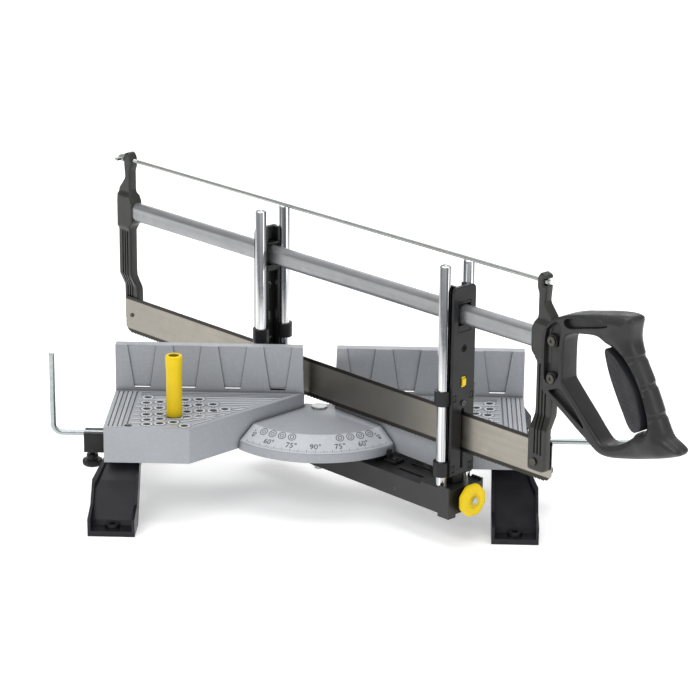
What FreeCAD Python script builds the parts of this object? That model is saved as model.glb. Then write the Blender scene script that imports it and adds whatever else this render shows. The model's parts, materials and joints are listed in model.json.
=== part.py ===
import FreeCAD, Part
import math
import os
import re
import Sketcher

# A clamping mitre box: two beds with a back fence on a pair of legs, a quadrant between them, a
# swinging arm that carries two pairs of upright rods, two guides that ride on the rods, and a
# framed saw whose spine slides through both guides.
#
# Frame: the origin is on the ground under the pivot of the arm, X runs along the fence, +Y runs
# from the front to the back and +Z is up. The swinging parts are drawn along the arm: x is the
# distance from the pivot towards the handle, y is across the arm and z is up. They are then
# turned about the pivot by rest_swing. All sizes are in millimetres.

doc = FreeCAD.newDocument("MitreSaw")
sheet = doc.addObject("Spreadsheet::Sheet", "Sizes")

SIZES = {
    # beds and fence
    "bed_half_width": 184, "bed_front": 100, "bed_bottom": 56.5, "bed_top": 89,
    "deck_thickness": 3.5, "bed_wall": 4, "gap_half": 14, "gap_half_top": 15.5,
    "bed_corner": 109, "fence_height": 43, "fence_thickness": 10,
    "peg_hole_radius": 3.5, "peg_boss_radius": 4.7, "peg_boss_bottom": 70,
    "groove_width": 1.3, "groove_depth": 0.9,
    "panel_pitch": 40.8, "panel_first": 160, "panel_depth": 1.2,
    "panel_top_half": 13.1, "panel_foot_half": 7.4, "panel_foot_rise": 4.5, "panel_top_rise": 43.2,
    "slot_wall": 2.3, "inner_rib": 98, "outer_rib": 136, "rib_half": 2, "fence_rib_back": 17,
    "fence_rib_bottom": 74.5,
    "tie_screw_radius": 2, "tie_screw_rise": 8, "bracket_screw_radius": 1.6,
    "bracket_screw_spread": 12, "bracket_screw_rise": 9,
    # legs
    "leg_inner": 154.5, "leg_outer": 195.5, "leg_waist": 183.7, "leg_rim": 2.6,
    "foot_hole_across": 175, "foot_hole_along": 122.5, "foot_hole_radius": 2.75,
    "foot_floor": 5, "foot_boss_radius": 6.5, "foot_boss_top": 8.5,
    "leg_screw_across": 171, "leg_screw_front": 62, "leg_screw_back": 18, "leg_screw_radius": 2.5,
    "leg_column_radius": 5.5,
    # quadrant, scale and pivot
    "quadrant_top": 76, "quadrant_flat_radius": 72, "quadrant_radius": 90,
    "quadrant_rim_top": 63, "quadrant_bottom": 55.5, "quadrant_skin": 4, "quadrant_gap": 0.15,
    "index_radius": 66, "index_ring_bottom": 60, "index_hole_radius": 2.7, "index_step": 15,
    "scale_thickness": 0.5, "pivot_radius": 4, "pivot_head_radius": 7,
    "hub_radius": 12, "running_gap": 0.05,
    # arm
    "rest_swing": 45, "arm_half_width": 21, "arm_bottom": 30, "arm_top": 50.5, "arm_wall": 3,
    "arm_front": 186, "arm_back": 85, "block_top": 53, "cheek_top": 55.3,
    "front_block_start": 152, "rear_block_end": 48, "set_screw_radius": 2.5,
    "pointer_screw_radius": 1.5, "vent_near": 6, "vent_far": 10, "vent_start": 112, "vent_end": 142,
    # rods and guides
    "rod_radius": 5, "rod_spacing": 14.2, "front_rod": 170, "rear_rod": -63.5,
    "rod_bottom": 33, "rod_top": 249.4,
    "guide_bottom": 62, "guide_top": 231, "guide_half_depth": 10, "guide_plate": 2.7,
    "guide_half_width": 13.4, "guide_web": 8.7, "bushing_radius": 7.4, "bushing_height": 13,
    "upper_bushing": 126, "window_bottom": 191, "window_top": 218, "window_half": 7.2,
    "blade_slot_half": 1.3, "blade_slot_top": 122, "stop_gap": 0.3, "latch_bottom": 141,
    "latch_top": 151, "latch_half": 2.5, "sight_hole_height": 176, "sight_hole_radius": 3.4,
    "guide_inner": 1, "channel_half": 5.8, "channel_floor": 5.5, "guide_screw_radius": 1.25,
    "guide_screw_height": 127, "guide_corner": 4,
    # lock and index mechanism
    "lock_height": 42.3, "lock_screw_radius": 3, "knob_radius": 14.6, "knob_back": 190.5,
    "knob_thickness": 7, "shoe_face_radius": 85.7, "shoe_half_width": 4.2,
    "rocker_pivot": 120, "rocker_height": 37, "rocker_offset": 6.5, "rocker_pin_radius": 1.5,
    "rocker_half": 1.8, "plunger_radius": 2.4, "plunger_bottom": 41,
    # saw frame
    "blade_back": -276, "blade_front": 284, "blade_bottom": 82.8, "blade_top": 119.2,
    "blade_thickness": 0.8, "blade_pin_height": 101, "rear_pin": -266.8, "front_pin": 271.2,
    "spine_height": 206.2, "spine_half_height": 9, "spine_half_width": 5.2, "spine_wall": 1.2,
    "spine_reach": 9, "tension_height": 255.8, "tension_radius": 1.8, "tension_back": -283,
    "post_half": 6.5, "post_side": 8.5, "post_web": 4.5, "blade_side_gap": 0.9,
    "blade_pin_radius": 1.85, "blade_pin_head": 3.4,
    "handle_half": 10, "grip_half": 14.5, "tang_half": 3, "tang_bottom": 170, "tang_top": 218,
    "tang_reach": 26, "handle_screw_reach": 289, "handle_screw_radius": 2,
    "handle_screw_high": 210.7, "handle_screw_low": 178.4, "insert_depth": 3.5,
    # length stop and clamp
    "stop_rod_radius": 2.5, "stop_rod_front": 40, "stop_rod_height": 62, "stop_rod_left": -236,
    "stop_rod_right": 292, "stop_rod_top": 136, "stop_bend": 8, "bracket_reach": 24,
    "bracket_bottom": 46, "thumbscrew_across": 201.5, "thumbscrew_radius": 2.5,
    "peg_across": -125, "peg_along": -67.5, "cam_radius": 7.5, "cam_height": 56,
}

for row, (alias, number) in enumerate(SIZES.items(), start=1):
    sheet.set("A%d" % row, alias)
    sheet.set("B%d" % row, str(number))
    sheet.setAlias("B%d" % row, alias)
doc.recompute()

ALIAS = re.compile(r"\b(%s)\b" % "|".join(sorted(SIZES, key=len, reverse=True)))
pieces = {}


def bound(text):
    """Return an expression with every alias in it pointing at the sheet."""
    return ALIAS.sub(r"Sizes.\1", str(text))


def value(text):
    """Return the present value of an expression."""
    return float(sheet.evalExpression(bound(text)))


def keep(piece, label, swung):
    """File a finished piece under its own label, turned with the arm when it swings."""
    if swung and piece.TypeId in ("Part::Box", "Part::Cylinder"):
        holder = doc.addObject("Part::Compound", "Held")
        holder.Links = [piece]
        piece = holder
    piece.Label = label
    if swung:
        piece.Placement = FreeCAD.Placement(
            FreeCAD.Vector(), FreeCAD.Rotation(FreeCAD.Vector(0, 0, -1), value("rest_swing"))
        )
        piece.setExpression("Placement.Rotation.Angle", bound("rest_swing"))
    pieces[label] = piece
    return piece


# ---- sketched bodies -------------------------------------------------------------------------

def new_body(label, swung=False):
    return keep(doc.addObject("PartDesign::Body", label), label, swung)


def new_sketch(body, plane, offset="0"):
    """Start a sketch on one of the body's own origin planes, moved along its normal."""
    sketch = body.newObject("Sketcher::SketchObject", body.Name + "_sketch")
    origin = [item for item in body.Origin.OriginFeatures if item.Role == plane + "_Plane"]
    sketch.AttachmentSupport = (origin[0], [""])
    sketch.MapMode = "FlatFace"
    sketch.setExpression("AttachmentOffset.Base.z", bound(offset))
    return sketch


def pin_down(sketch, axis, geometry, point, text):
    """Tie one coordinate of a sketch point to an expression."""
    index = sketch.addConstraint(
        Sketcher.Constraint("Distance" + axis, -1, 1, geometry, point, value(text))
    )
    sketch.setExpression("Constraints[%d]" % index, bound(text))


def draw_polygon(sketch, points):
    """Draw a closed outline whose corners are tied to the sheet."""
    corners = [FreeCAD.Vector(value(x), value(y), 0) for x, y in points]
    first = sketch.GeometryCount
    count = len(points)
    for step in range(count):
        sketch.addGeometry(Part.LineSegment(corners[step], corners[(step + 1) % count]))
    for step in range(count):
        following = first + (step + 1) % count
        sketch.addConstraint(Sketcher.Constraint("Coincident", first + step, 2, following, 1))
    for step, (x, y) in enumerate(points):
        pin_down(sketch, "X", first + step, 1, x)
        pin_down(sketch, "Y", first + step, 1, y)


def draw_box(sketch, left, bottom, right, top):
    draw_polygon(sketch, [(left, bottom), (right, bottom), (right, top), (left, top)])


def draw_circle(sketch, x, y, radius):
    """Draw a circle whose centre and radius are tied to the sheet."""
    centre = FreeCAD.Vector(value(x), value(y), 0)
    index = sketch.addGeometry(Part.Circle(centre, FreeCAD.Vector(0, 0, 1), value(radius)))
    pin_down(sketch, "X", index, 3, x)
    pin_down(sketch, "Y", index, 3, y)
    size = sketch.addConstraint(Sketcher.Constraint("Radius", index, value(radius)))
    sketch.setExpression("Constraints[%d]" % size, bound(radius))


def pad(body, sketch, length):
    """Add material along the sketch's normal, or against it when the length is negative."""
    feature = body.newObject("PartDesign::Pad", body.Name + "_pad")
    feature.Profile = sketch
    feature.Reversed = value(length) < 0
    feature.setExpression("Length", bound("abs(%s)" % length))
    doc.recompute()
    return feature


def pocket(body, sketch, length):
    """Cut along the sketch's normal, or against it when the length is negative."""
    before = body.Shape.Volume
    feature = body.newObject("PartDesign::Pocket", body.Name + "_pocket")
    feature.Profile = sketch
    feature.Reversed = value(length) > 0
    feature.setExpression("Length", bound("abs(%s)" % length))
    doc.recompute()
    if body.Shape.Volume > before - 0.001:
        raise RuntimeError("a pocket of %s cuts nothing" % body.Label)
    return feature


def revolve(body, sketch):
    """Turn a profile drawn on the XZ plane once round the Z axis."""
    feature = body.newObject("PartDesign::Revolution", body.Name + "_turned")
    feature.Profile = sketch
    feature.ReferenceAxis = (sketch, ["V_Axis"])
    feature.Angle = 360
    doc.recompute()
    return feature


# ---- primitives ------------------------------------------------------------------------------

AXES = {
    "x": FreeCAD.Rotation(FreeCAD.Vector(0, 0, 1), FreeCAD.Vector(1, 0, 0)),
    "-x": FreeCAD.Rotation(FreeCAD.Vector(0, 0, 1), FreeCAD.Vector(-1, 0, 0)),
    "y": FreeCAD.Rotation(FreeCAD.Vector(0, 0, 1), FreeCAD.Vector(0, 1, 0)),
    "-y": FreeCAD.Rotation(FreeCAD.Vector(0, 0, 1), FreeCAD.Vector(0, -1, 0)),
    "z": FreeCAD.Rotation(),
    "-z": FreeCAD.Rotation(FreeCAD.Vector(0, 0, 1), FreeCAD.Vector(0, 0, -1)),
}


def place(item, x, y, z, rotation=FreeCAD.Rotation()):
    item.Placement = FreeCAD.Placement(FreeCAD.Vector(value(x), value(y), value(z)), rotation)
    item.setExpression("Placement.Base.x", bound(x))
    item.setExpression("Placement.Base.y", bound(y))
    item.setExpression("Placement.Base.z", bound(z))
    return item


def cylinder(radius, height, x, y, z, axis="z"):
    item = doc.addObject("Part::Cylinder", "Round")
    item.setExpression("Radius", bound(radius))
    item.setExpression("Height", bound(height))
    return place(item, x, y, z, AXES[axis])


def cone(radius, end_radius, height, x, y, z, axis="z"):
    item = doc.addObject("Part::Cone", "Taper")
    item.setExpression("Radius1", bound(radius))
    item.setExpression("Radius2", bound(end_radius))
    item.setExpression("Height", bound(height))
    return place(item, x, y, z, AXES[axis])


def prism(sides, circumradius, height, x, y, z, axis="z"):
    item = doc.addObject("Part::Prism", "Prism")
    item.Polygon = sides
    item.setExpression("Circumradius", bound(circumradius))
    item.setExpression("Height", bound(height))
    return place(item, x, y, z, AXES[axis])


def box(left, front, bottom, right, back, top):
    item = doc.addObject("Part::Box", "Block")
    item.setExpression("Length", bound("(%s) - (%s)" % (right, left)))
    item.setExpression("Width", bound("(%s) - (%s)" % (back, front)))
    item.setExpression("Height", bound("(%s) - (%s)" % (top, bottom)))
    return place(item, left, front, bottom)


def fuse(items):
    item = doc.addObject("Part::MultiFuse", "Joined")
    item.Shapes = items
    return item


def cut(base, tool):
    item = doc.addObject("Part::Cut", "Cut")
    item.Base = base
    item.Tool = tool
    return item


def screw(x, y, z, axis, shank_radius, length, head_radius, head_height, socket_radius):
    """Cap screw: the head stands on (x, y, z) and the shank runs from there along the axis."""
    back = "-" + axis if len(axis) == 1 else axis[1]
    head = cylinder(head_radius, head_height, x, y, z, back)
    shank = cylinder(shank_radius, length, x, y, z, axis)
    drive = prism(6, socket_radius, "%s / 2" % head_height, x, y, z, back)
    sign = -1 if len(axis) == 1 else 1
    letter = axis[-1]
    reach = "%s * %s / 2" % (sign, head_height)
    if letter == "x":
        place(drive, "%s + %s" % (x, reach), y, z, AXES[back])
    if letter == "y":
        place(drive, x, "%s + %s" % (y, reach), z, AXES[back])
    if letter == "z":
        place(drive, x, y, "%s + %s" % (z, reach), AXES[back])
    return cut(fuse([head, shank]), drive)


# ---- beds ------------------------------------------------------------------------------------

# Peg holes of one deck, as distances from the pivot outwards and from the fence forwards.
PEG_HOLES = [
    (153, 19), (153, 34), (151, 50), (150, 65), (148, 79), (147, 90.5),
    (141, 31), (140, 47), (138, 63), (137, 76), (136, 88),
    (130, 27), (129, 42), (127, 55), (125, 67.5), (124.5, 84),
    (119, 24), (117, 40), (115, 56), (114, 70), (114, 93),
    (107, 22), (106, 37), (104, 53), (103, 68), (93.5, 35), (92, 51), (82, 47), (163, 94),
]
OUTER_GROOVES = [180, 176.5, 172, 168.5, 164]
CROSS_GROOVES = [6, 9.5, 13]
FENCE_RIBS = [58, 98.8, 139.6]
TIE_SCREWS = [30, 52]
BRACKET_SCREWS = [
    "stop_rod_front - bracket_screw_spread", "stop_rod_front + bracket_screw_spread",
]


# How far the slanted edge of a bed moves along X for each millimetre of wall.
SLANT = "sqrt(1 + ((bed_corner - gap_half) / bed_front) ^ 2)"


def diagonal(distance, inset):
    """Outward coordinate of the bed's slanted edge at a distance in front of the fence."""
    slope = "(bed_corner - gap_half) / bed_front"
    return "gap_half + %s * (%s) + %s * (%s)" % (slope, distance, SLANT, inset)


def distance_at(across, inset):
    """Distance in front of the fence at which the slanted edge reaches an outward coordinate."""
    return "((%s) - gap_half - %s * (%s)) * bed_front / (bed_corner - gap_half)" % (
        across, SLANT, inset
    )


def make_bed(label, side):
    body = new_body(label)

    def out(text):
        return "%d * (%s)" % (side, text)

    plan = new_sketch(body, "XY", "bed_bottom")
    draw_polygon(plan, [
        (out("gap_half"), "fence_thickness"), (out("gap_half"), "0"),
        (out("bed_corner"), "-bed_front"), (out("bed_half_width"), "-bed_front"),
        (out("bed_half_width"), "fence_thickness"),
    ])
    pad(body, plan, "bed_top - bed_bottom")

    fence = new_sketch(body, "XZ", "-fence_thickness")
    draw_polygon(fence, [
        (out("gap_half"), "bed_bottom"), (out("bed_half_width"), "bed_bottom"),
        (out("bed_half_width"), "bed_top + fence_height"),
        (out("gap_half_top"), "bed_top + fence_height"), (out("gap_half"), "bed_top"),
    ])
    pad(body, fence, "fence_thickness")

    # the casting is open underneath, in three cells with ribs between them
    cells = new_sketch(body, "XY", "bed_bottom")
    near_rib = "inner_rib - rib_half"
    far_rib = "inner_rib + rib_half"
    draw_polygon(cells, [
        (out(diagonal("bed_wall", "bed_wall")), "-bed_wall"), (out(near_rib), "-bed_wall"),
        (out(near_rib), "-" + distance_at(near_rib, "bed_wall")),
    ])
    draw_polygon(cells, [
        (out(far_rib), "-bed_wall"), (out("outer_rib - rib_half"), "-bed_wall"),
        (out("outer_rib - rib_half"), "bed_wall - bed_front"),
        (out(diagonal("bed_front - bed_wall", "bed_wall")), "bed_wall - bed_front"),
        (out(far_rib), "-" + distance_at(far_rib, "bed_wall")),
    ])
    draw_box(
        cells, out("outer_rib + rib_half"), "bed_wall - bed_front",
        out("bed_half_width - bed_wall"), "-bed_wall"
    )
    pocket(body, cells, "bed_top - bed_bottom - deck_thickness")

    bosses = new_sketch(body, "XY", "peg_boss_bottom")
    for across, along in PEG_HOLES:
        draw_circle(bosses, out(across), -along, "peg_boss_radius")
    pad(body, bosses, "bed_top - deck_thickness / 2 - peg_boss_bottom")
    columns = new_sketch(body, "XY", "bed_bottom")
    for along in ("leg_screw_front", "leg_screw_back"):
        draw_circle(columns, out("leg_screw_across"), "-" + along, "leg_column_radius")
    pad(body, columns, "bed_top - deck_thickness / 2 - bed_bottom")

    holes = new_sketch(body, "XY", "bed_top")
    for across, along in PEG_HOLES:
        draw_circle(holes, out(across), -along, "peg_hole_radius")
    pocket(body, holes, "peg_boss_bottom - bed_top - 2")
    threads = new_sketch(body, "XY", "bed_bottom")
    for along in ("leg_screw_front", "leg_screw_back"):
        draw_circle(
            threads, out("leg_screw_across"), "-" + along, "leg_screw_radius + running_gap"
        )
    pocket(body, threads, "20")

    # shallow grooves along the outer edge of the deck and in front of the fence
    grooves = new_sketch(body, "XY", "bed_top")
    for across in OUTER_GROOVES:
        draw_box(
            grooves, out("%s - groove_width / 2" % across), "3 - bed_front",
            out("%s + groove_width / 2" % across), "-3"
        )
    for along in CROSS_GROOVES:
        draw_box(
            grooves, out(diagonal(str(along), "4")), "-%s - groove_width / 2" % along,
            out("160"), "groove_width / 2 - %s" % along
        )
    pocket(body, grooves, "-groove_depth")

    # tapered panels and a slot under each, on the face of the fence
    panels = new_sketch(body, "XZ", "0")
    slots = new_sketch(body, "XZ", "0")
    for step in range(4):
        middle = "panel_first - %d * panel_pitch" % step
        draw_polygon(panels, [
            (out(middle + " - panel_top_half"), "bed_top + panel_top_rise"),
            (out(middle + " + panel_top_half"), "bed_top + panel_top_rise"),
            (out(middle + " + panel_foot_half"), "bed_top + panel_foot_rise"),
            (out(middle + " - panel_foot_half"), "bed_top + panel_foot_rise"),
        ])
        draw_box(
            slots, out(middle + " - panel_foot_half + 0.4"), "bed_top + 2.4",
            out(middle + " + panel_foot_half - 0.4"), "bed_top + 4.2"
        )
    pocket(body, panels, "-panel_depth")
    pocket(body, slots, "-fence_thickness - 1")

    # the fence is hollowed from behind to a thin wall round each slot
    hollows = new_sketch(body, "XZ", "-fence_thickness")
    for step in range(4):
        middle = "panel_first - %d * panel_pitch" % step
        draw_box(
            hollows, out(middle + " - panel_foot_half - 2"), "bed_top - 6",
            out(middle + " + panel_foot_half + 2"), "bed_top + 12"
        )
    pocket(body, hollows, "fence_thickness - panel_depth - slot_wall")

    ribs = new_sketch(body, "XY", "fence_rib_bottom")
    for across in FENCE_RIBS:
        draw_box(
            ribs, out("%d - rib_half" % across), "fence_thickness - 1",
            out("%d + rib_half" % across), "fence_rib_back"
        )
    pad(body, ribs, "bed_top + fence_height - 6 - fence_rib_bottom")

    # clearance for the length stop's rod, and threads for the bracket, quadrant and tie bar
    rod_hole = new_sketch(body, "YZ", "0")
    draw_circle(rod_hole, "-stop_rod_front", "stop_rod_height", "stop_rod_radius + running_gap")
    pocket(body, rod_hole, out("bed_half_width + 5"))
    bracket_holes = new_sketch(body, "YZ", out("bed_half_width"))
    for along in BRACKET_SCREWS:
        draw_circle(
            bracket_holes, "-(%s)" % along, "bed_bottom + bracket_screw_rise",
            "bracket_screw_radius + 0.1"
        )
    pocket(body, bracket_holes, out("-bed_wall - 1"))
    tie_holes = new_sketch(body, "XZ", "-fence_thickness")
    for across in TIE_SCREWS:
        draw_circle(
            tie_holes, out(across), "bed_bottom + tie_screw_rise", "tie_screw_radius + running_gap"
        )
    pocket(body, tie_holes, "8")
    return body


make_bed("left_bed", -1)
make_bed("right_bed", 1)


# ---- legs ------------------------------------------------------------------------------------

def make_leg(label, side):
    """Arched leg with a rimmed channel down each end and a foot that is screwed down."""
    body = new_body(label)

    def out(text):
        return "%d * (%s)" % (side, text)

    half = [
        ("-80", "bed_bottom"), ("-94", "39"), ("-110", "21"), ("-134", "16"), ("-133", "0"),
        ("-104", "0"), ("-86", "24"), ("-72", "44"),
    ]
    mirrored = [(along[1:], up) for along, up in reversed(half)]
    arch = new_sketch(body, "YZ", out("leg_inner"))
    draw_polygon(arch, half + mirrored)
    pad(body, arch, out("leg_outer - leg_inner"))

    # each end is hollowed between two rims, then gets its sloping back and its floor
    for end in (-1, 1):
        channel = new_sketch(body, "XY", "0")
        draw_polygon(channel, [
            (out("leg_inner + leg_rim"), "%d * 79" % end),
            (out("leg_inner + leg_rim"), "%d * 140" % end),
            (out("leg_outer - leg_rim"), "%d * 140" % end),
            (out("leg_outer - leg_rim"), "%d * 97" % end),
            (out("leg_waist - leg_rim"), "%d * 79" % end),
        ])
        pocket(body, channel, "bed_bottom")
        back = new_sketch(body, "YZ", out("leg_inner + leg_rim - 0.5"))
        draw_polygon(back, [
            ("%d * %s" % (end, along), up) for along, up in (
                ("78.6", "bed_bottom"), ("80", "bed_bottom"), ("82", "bed_bottom - 6"),
                ("91", "36.5"), ("115", "9"), ("117", "foot_floor"), ("133.3", "foot_floor"),
                ("133", "0"), ("104", "0"), ("86", "24"), ("78.6", "34.5"),
            )
        ])
        pad(body, back, out("leg_outer - leg_inner - 2 * leg_rim + 1"))

    # the outer side steps in under the bed
    waist = new_sketch(body, "XY", "0")
    draw_polygon(waist, [
        (out("leg_outer + 1"), "-96"), (out("leg_waist"), "-78"), (out("leg_waist"), "78"),
        (out("leg_outer + 1"), "96"),
    ])
    pocket(body, waist, "bed_bottom + 1")
    bosses = new_sketch(body, "XY", "foot_floor - 1")
    for end in (-1, 1):
        draw_circle(bosses, out("foot_hole_across"), "%d * foot_hole_along" % end,
                    "foot_boss_radius")
    pad(body, bosses, "foot_boss_top - foot_floor + 1")
    holes = new_sketch(body, "XY", "0")
    for end in (-1, 1):
        draw_circle(
            holes, out("foot_hole_across"), "%d * foot_hole_along" % end, "foot_hole_radius"
        )
    for along in ("leg_screw_front", "leg_screw_back"):
        draw_circle(holes, out("leg_screw_across"), "-" + along, "leg_screw_radius + 0.2")
    pocket(body, holes, "bed_bottom + 1")
    return body


make_leg("left_leg", -1)
make_leg("right_leg", 1)

leg_screws = []
for side in (-1, 1):
    for along in ("leg_screw_front", "leg_screw_back"):
        leg_screws.append(screw(
            "%d * leg_screw_across" % side, "-" + along, "44", "z", "leg_screw_radius", "31",
            "4.5", "4", "2"
        ))
keep(fuse(leg_screws), "leg_screws", False)


# ---- quadrant, scale and pivot ---------------------------------------------------------------

def trim_to_wedge(body, gap, lower, height):
    """Cut a round body back to the wedge between the two beds."""
    for side in (-1, 1):
        edge = new_sketch(body, "XY", lower)
        draw_polygon(edge, [
            ("%d * (gap_half - %s * %s)" % (side, SLANT, gap), "100"),
            ("%d * (gap_half - %s * %s)" % (side, SLANT, gap), "0"),
            ("%d * (bed_corner - %s * %s)" % (side, SLANT, gap), "-bed_front"),
            ("%d * 130" % side, "-bed_front"), ("%d * 130" % side, "100"),
        ])
        pocket(body, edge, height)
    back = new_sketch(body, "XY", lower)
    draw_box(back, "-60", "fence_thickness", "60", "110")
    pocket(body, back, height)


def make_quadrant():
    body = new_body("quadrant")
    dish = new_sketch(body, "XZ", "0")
    draw_polygon(dish, [
        ("pivot_radius + running_gap", "quadrant_bottom + 0.6"),
        ("pivot_radius + running_gap", "quadrant_top"),
        ("quadrant_flat_radius", "quadrant_top"), ("quadrant_radius", "quadrant_rim_top"),
        ("quadrant_radius", "quadrant_bottom"),
        ("quadrant_radius - quadrant_skin", "quadrant_bottom"),
        ("quadrant_radius - quadrant_skin", "quadrant_rim_top - 1.5"),
        ("quadrant_flat_radius - 1.5", "quadrant_top - quadrant_skin"),
        ("index_radius + 3.5", "quadrant_top - quadrant_skin"),
        ("index_radius + 3.5", "index_ring_bottom"), ("index_radius - 3.5", "index_ring_bottom"),
        ("index_radius - 3.5", "quadrant_top - quadrant_skin"),
        ("hub_radius", "quadrant_top - quadrant_skin"), ("hub_radius", "quadrant_bottom + 0.6"),
    ])
    revolve(body, dish)
    trim_to_wedge(body, "quadrant_gap", "50", "40")

    # a wall down each slanted side, screwed to the bed beside it
    for start, end, top in (("12", "43", "quadrant_top - 2"), ("42", "54", "quadrant_rim_top")):
        walls = new_sketch(body, "XY", "quadrant_bottom + 1")
        for side in (-1, 1):
            draw_polygon(walls, [
                ("%d * (%s)" % (side, diagonal(start, "-quadrant_gap")), "-" + start),
                ("%d * (%s)" % (side, diagonal(end, "-quadrant_gap")), "-" + end),
                ("%d * (%s)" % (side, diagonal(end, "-3")), "-" + end),
                ("%d * (%s)" % (side, diagonal(start, "-3")), "-" + start),
            ])
        pad(body, walls, "%s - quadrant_bottom - 1" % top)

    # detent holes under the index ring
    detents = new_sketch(body, "XY", "index_ring_bottom")
    for step in range(-3, 4):
        turn = "(%d * index_step * 1deg)" % step
        draw_circle(
            detents, "index_radius * sin%s" % turn, "-index_radius * cos%s" % turn,
            "index_hole_radius"
        )
    pocket(body, detents, "4")
    rod_hole = new_sketch(body, "YZ", "-100")
    draw_circle(rod_hole, "-stop_rod_front", "stop_rod_height", "stop_rod_radius + running_gap")
    pocket(body, rod_hole, "200")
    return body


def make_scale():
    """Thin bright scale that lies on the sloping edge of the quadrant."""
    body = new_body("angle_scale")
    strip = new_sketch(body, "XZ", "0")
    rise = "(quadrant_top - quadrant_rim_top) / (quadrant_radius - quadrant_flat_radius)"
    inner = "(quadrant_flat_radius + 0.8)"
    outer = "(quadrant_radius - 0.6)"
    low = "quadrant_top - %s * (%s - quadrant_flat_radius) + 0.02"
    draw_polygon(strip, [
        (inner, low % (rise, inner)), (outer, low % (rise, outer)),
        (outer, low % (rise, outer) + " + scale_thickness"),
        (inner, low % (rise, inner) + " + scale_thickness"),
    ])
    revolve(body, strip)
    trim_to_wedge(body, "0.8", "50", "40")
    return body


make_quadrant()
make_scale()

keep(
    fuse([
        cylinder("pivot_head_radius", "1.8", "0", "0", "quadrant_top + 0.05"),
        cylinder("pivot_radius", "quadrant_top - 18", "0", "0", "18.1"),
    ]),
    "pivot_bolt", False
)
keep(
    cut(
        cylinder("9", "1.6", "0", "0", "arm_bottom - 1.9"),
        cylinder("pivot_radius + 0.2", "4", "0", "0", "arm_bottom - 3")
    ),
    "pivot_washer", False
)
keep(
    cut(
        prism(6, "7.5", "6.5", "0", "0", "arm_bottom - 8.5"),
        cylinder("pivot_radius + 0.02", "10", "0", "0", "arm_bottom - 10")
    ),
    "pivot_nut", False
)

keep(
    cut(
        box("-60", "fence_thickness + 0.05", "bed_bottom + 1", "60", "fence_thickness + 4",
            "bed_bottom + 15"),
        fuse([
            cylinder("tie_screw_radius + 0.2", "8", side * across, "fence_thickness - 1",
                     "bed_bottom + tie_screw_rise", "y")
            for side in (-1, 1) for across in TIE_SCREWS
        ])
    ),
    "rear_tie_bar", False
)
keep(
    fuse([
        screw(side * across, "fence_thickness + 4.05", "bed_bottom + tie_screw_rise", "-y",
              "tie_screw_radius", "11", "3.5", "2.5", "1.7")
        for side in (-1, 1) for across in TIE_SCREWS
    ]),
    "tie_bar_screws", False
)

# ---- arm -------------------------------------------------------------------------------------

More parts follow.
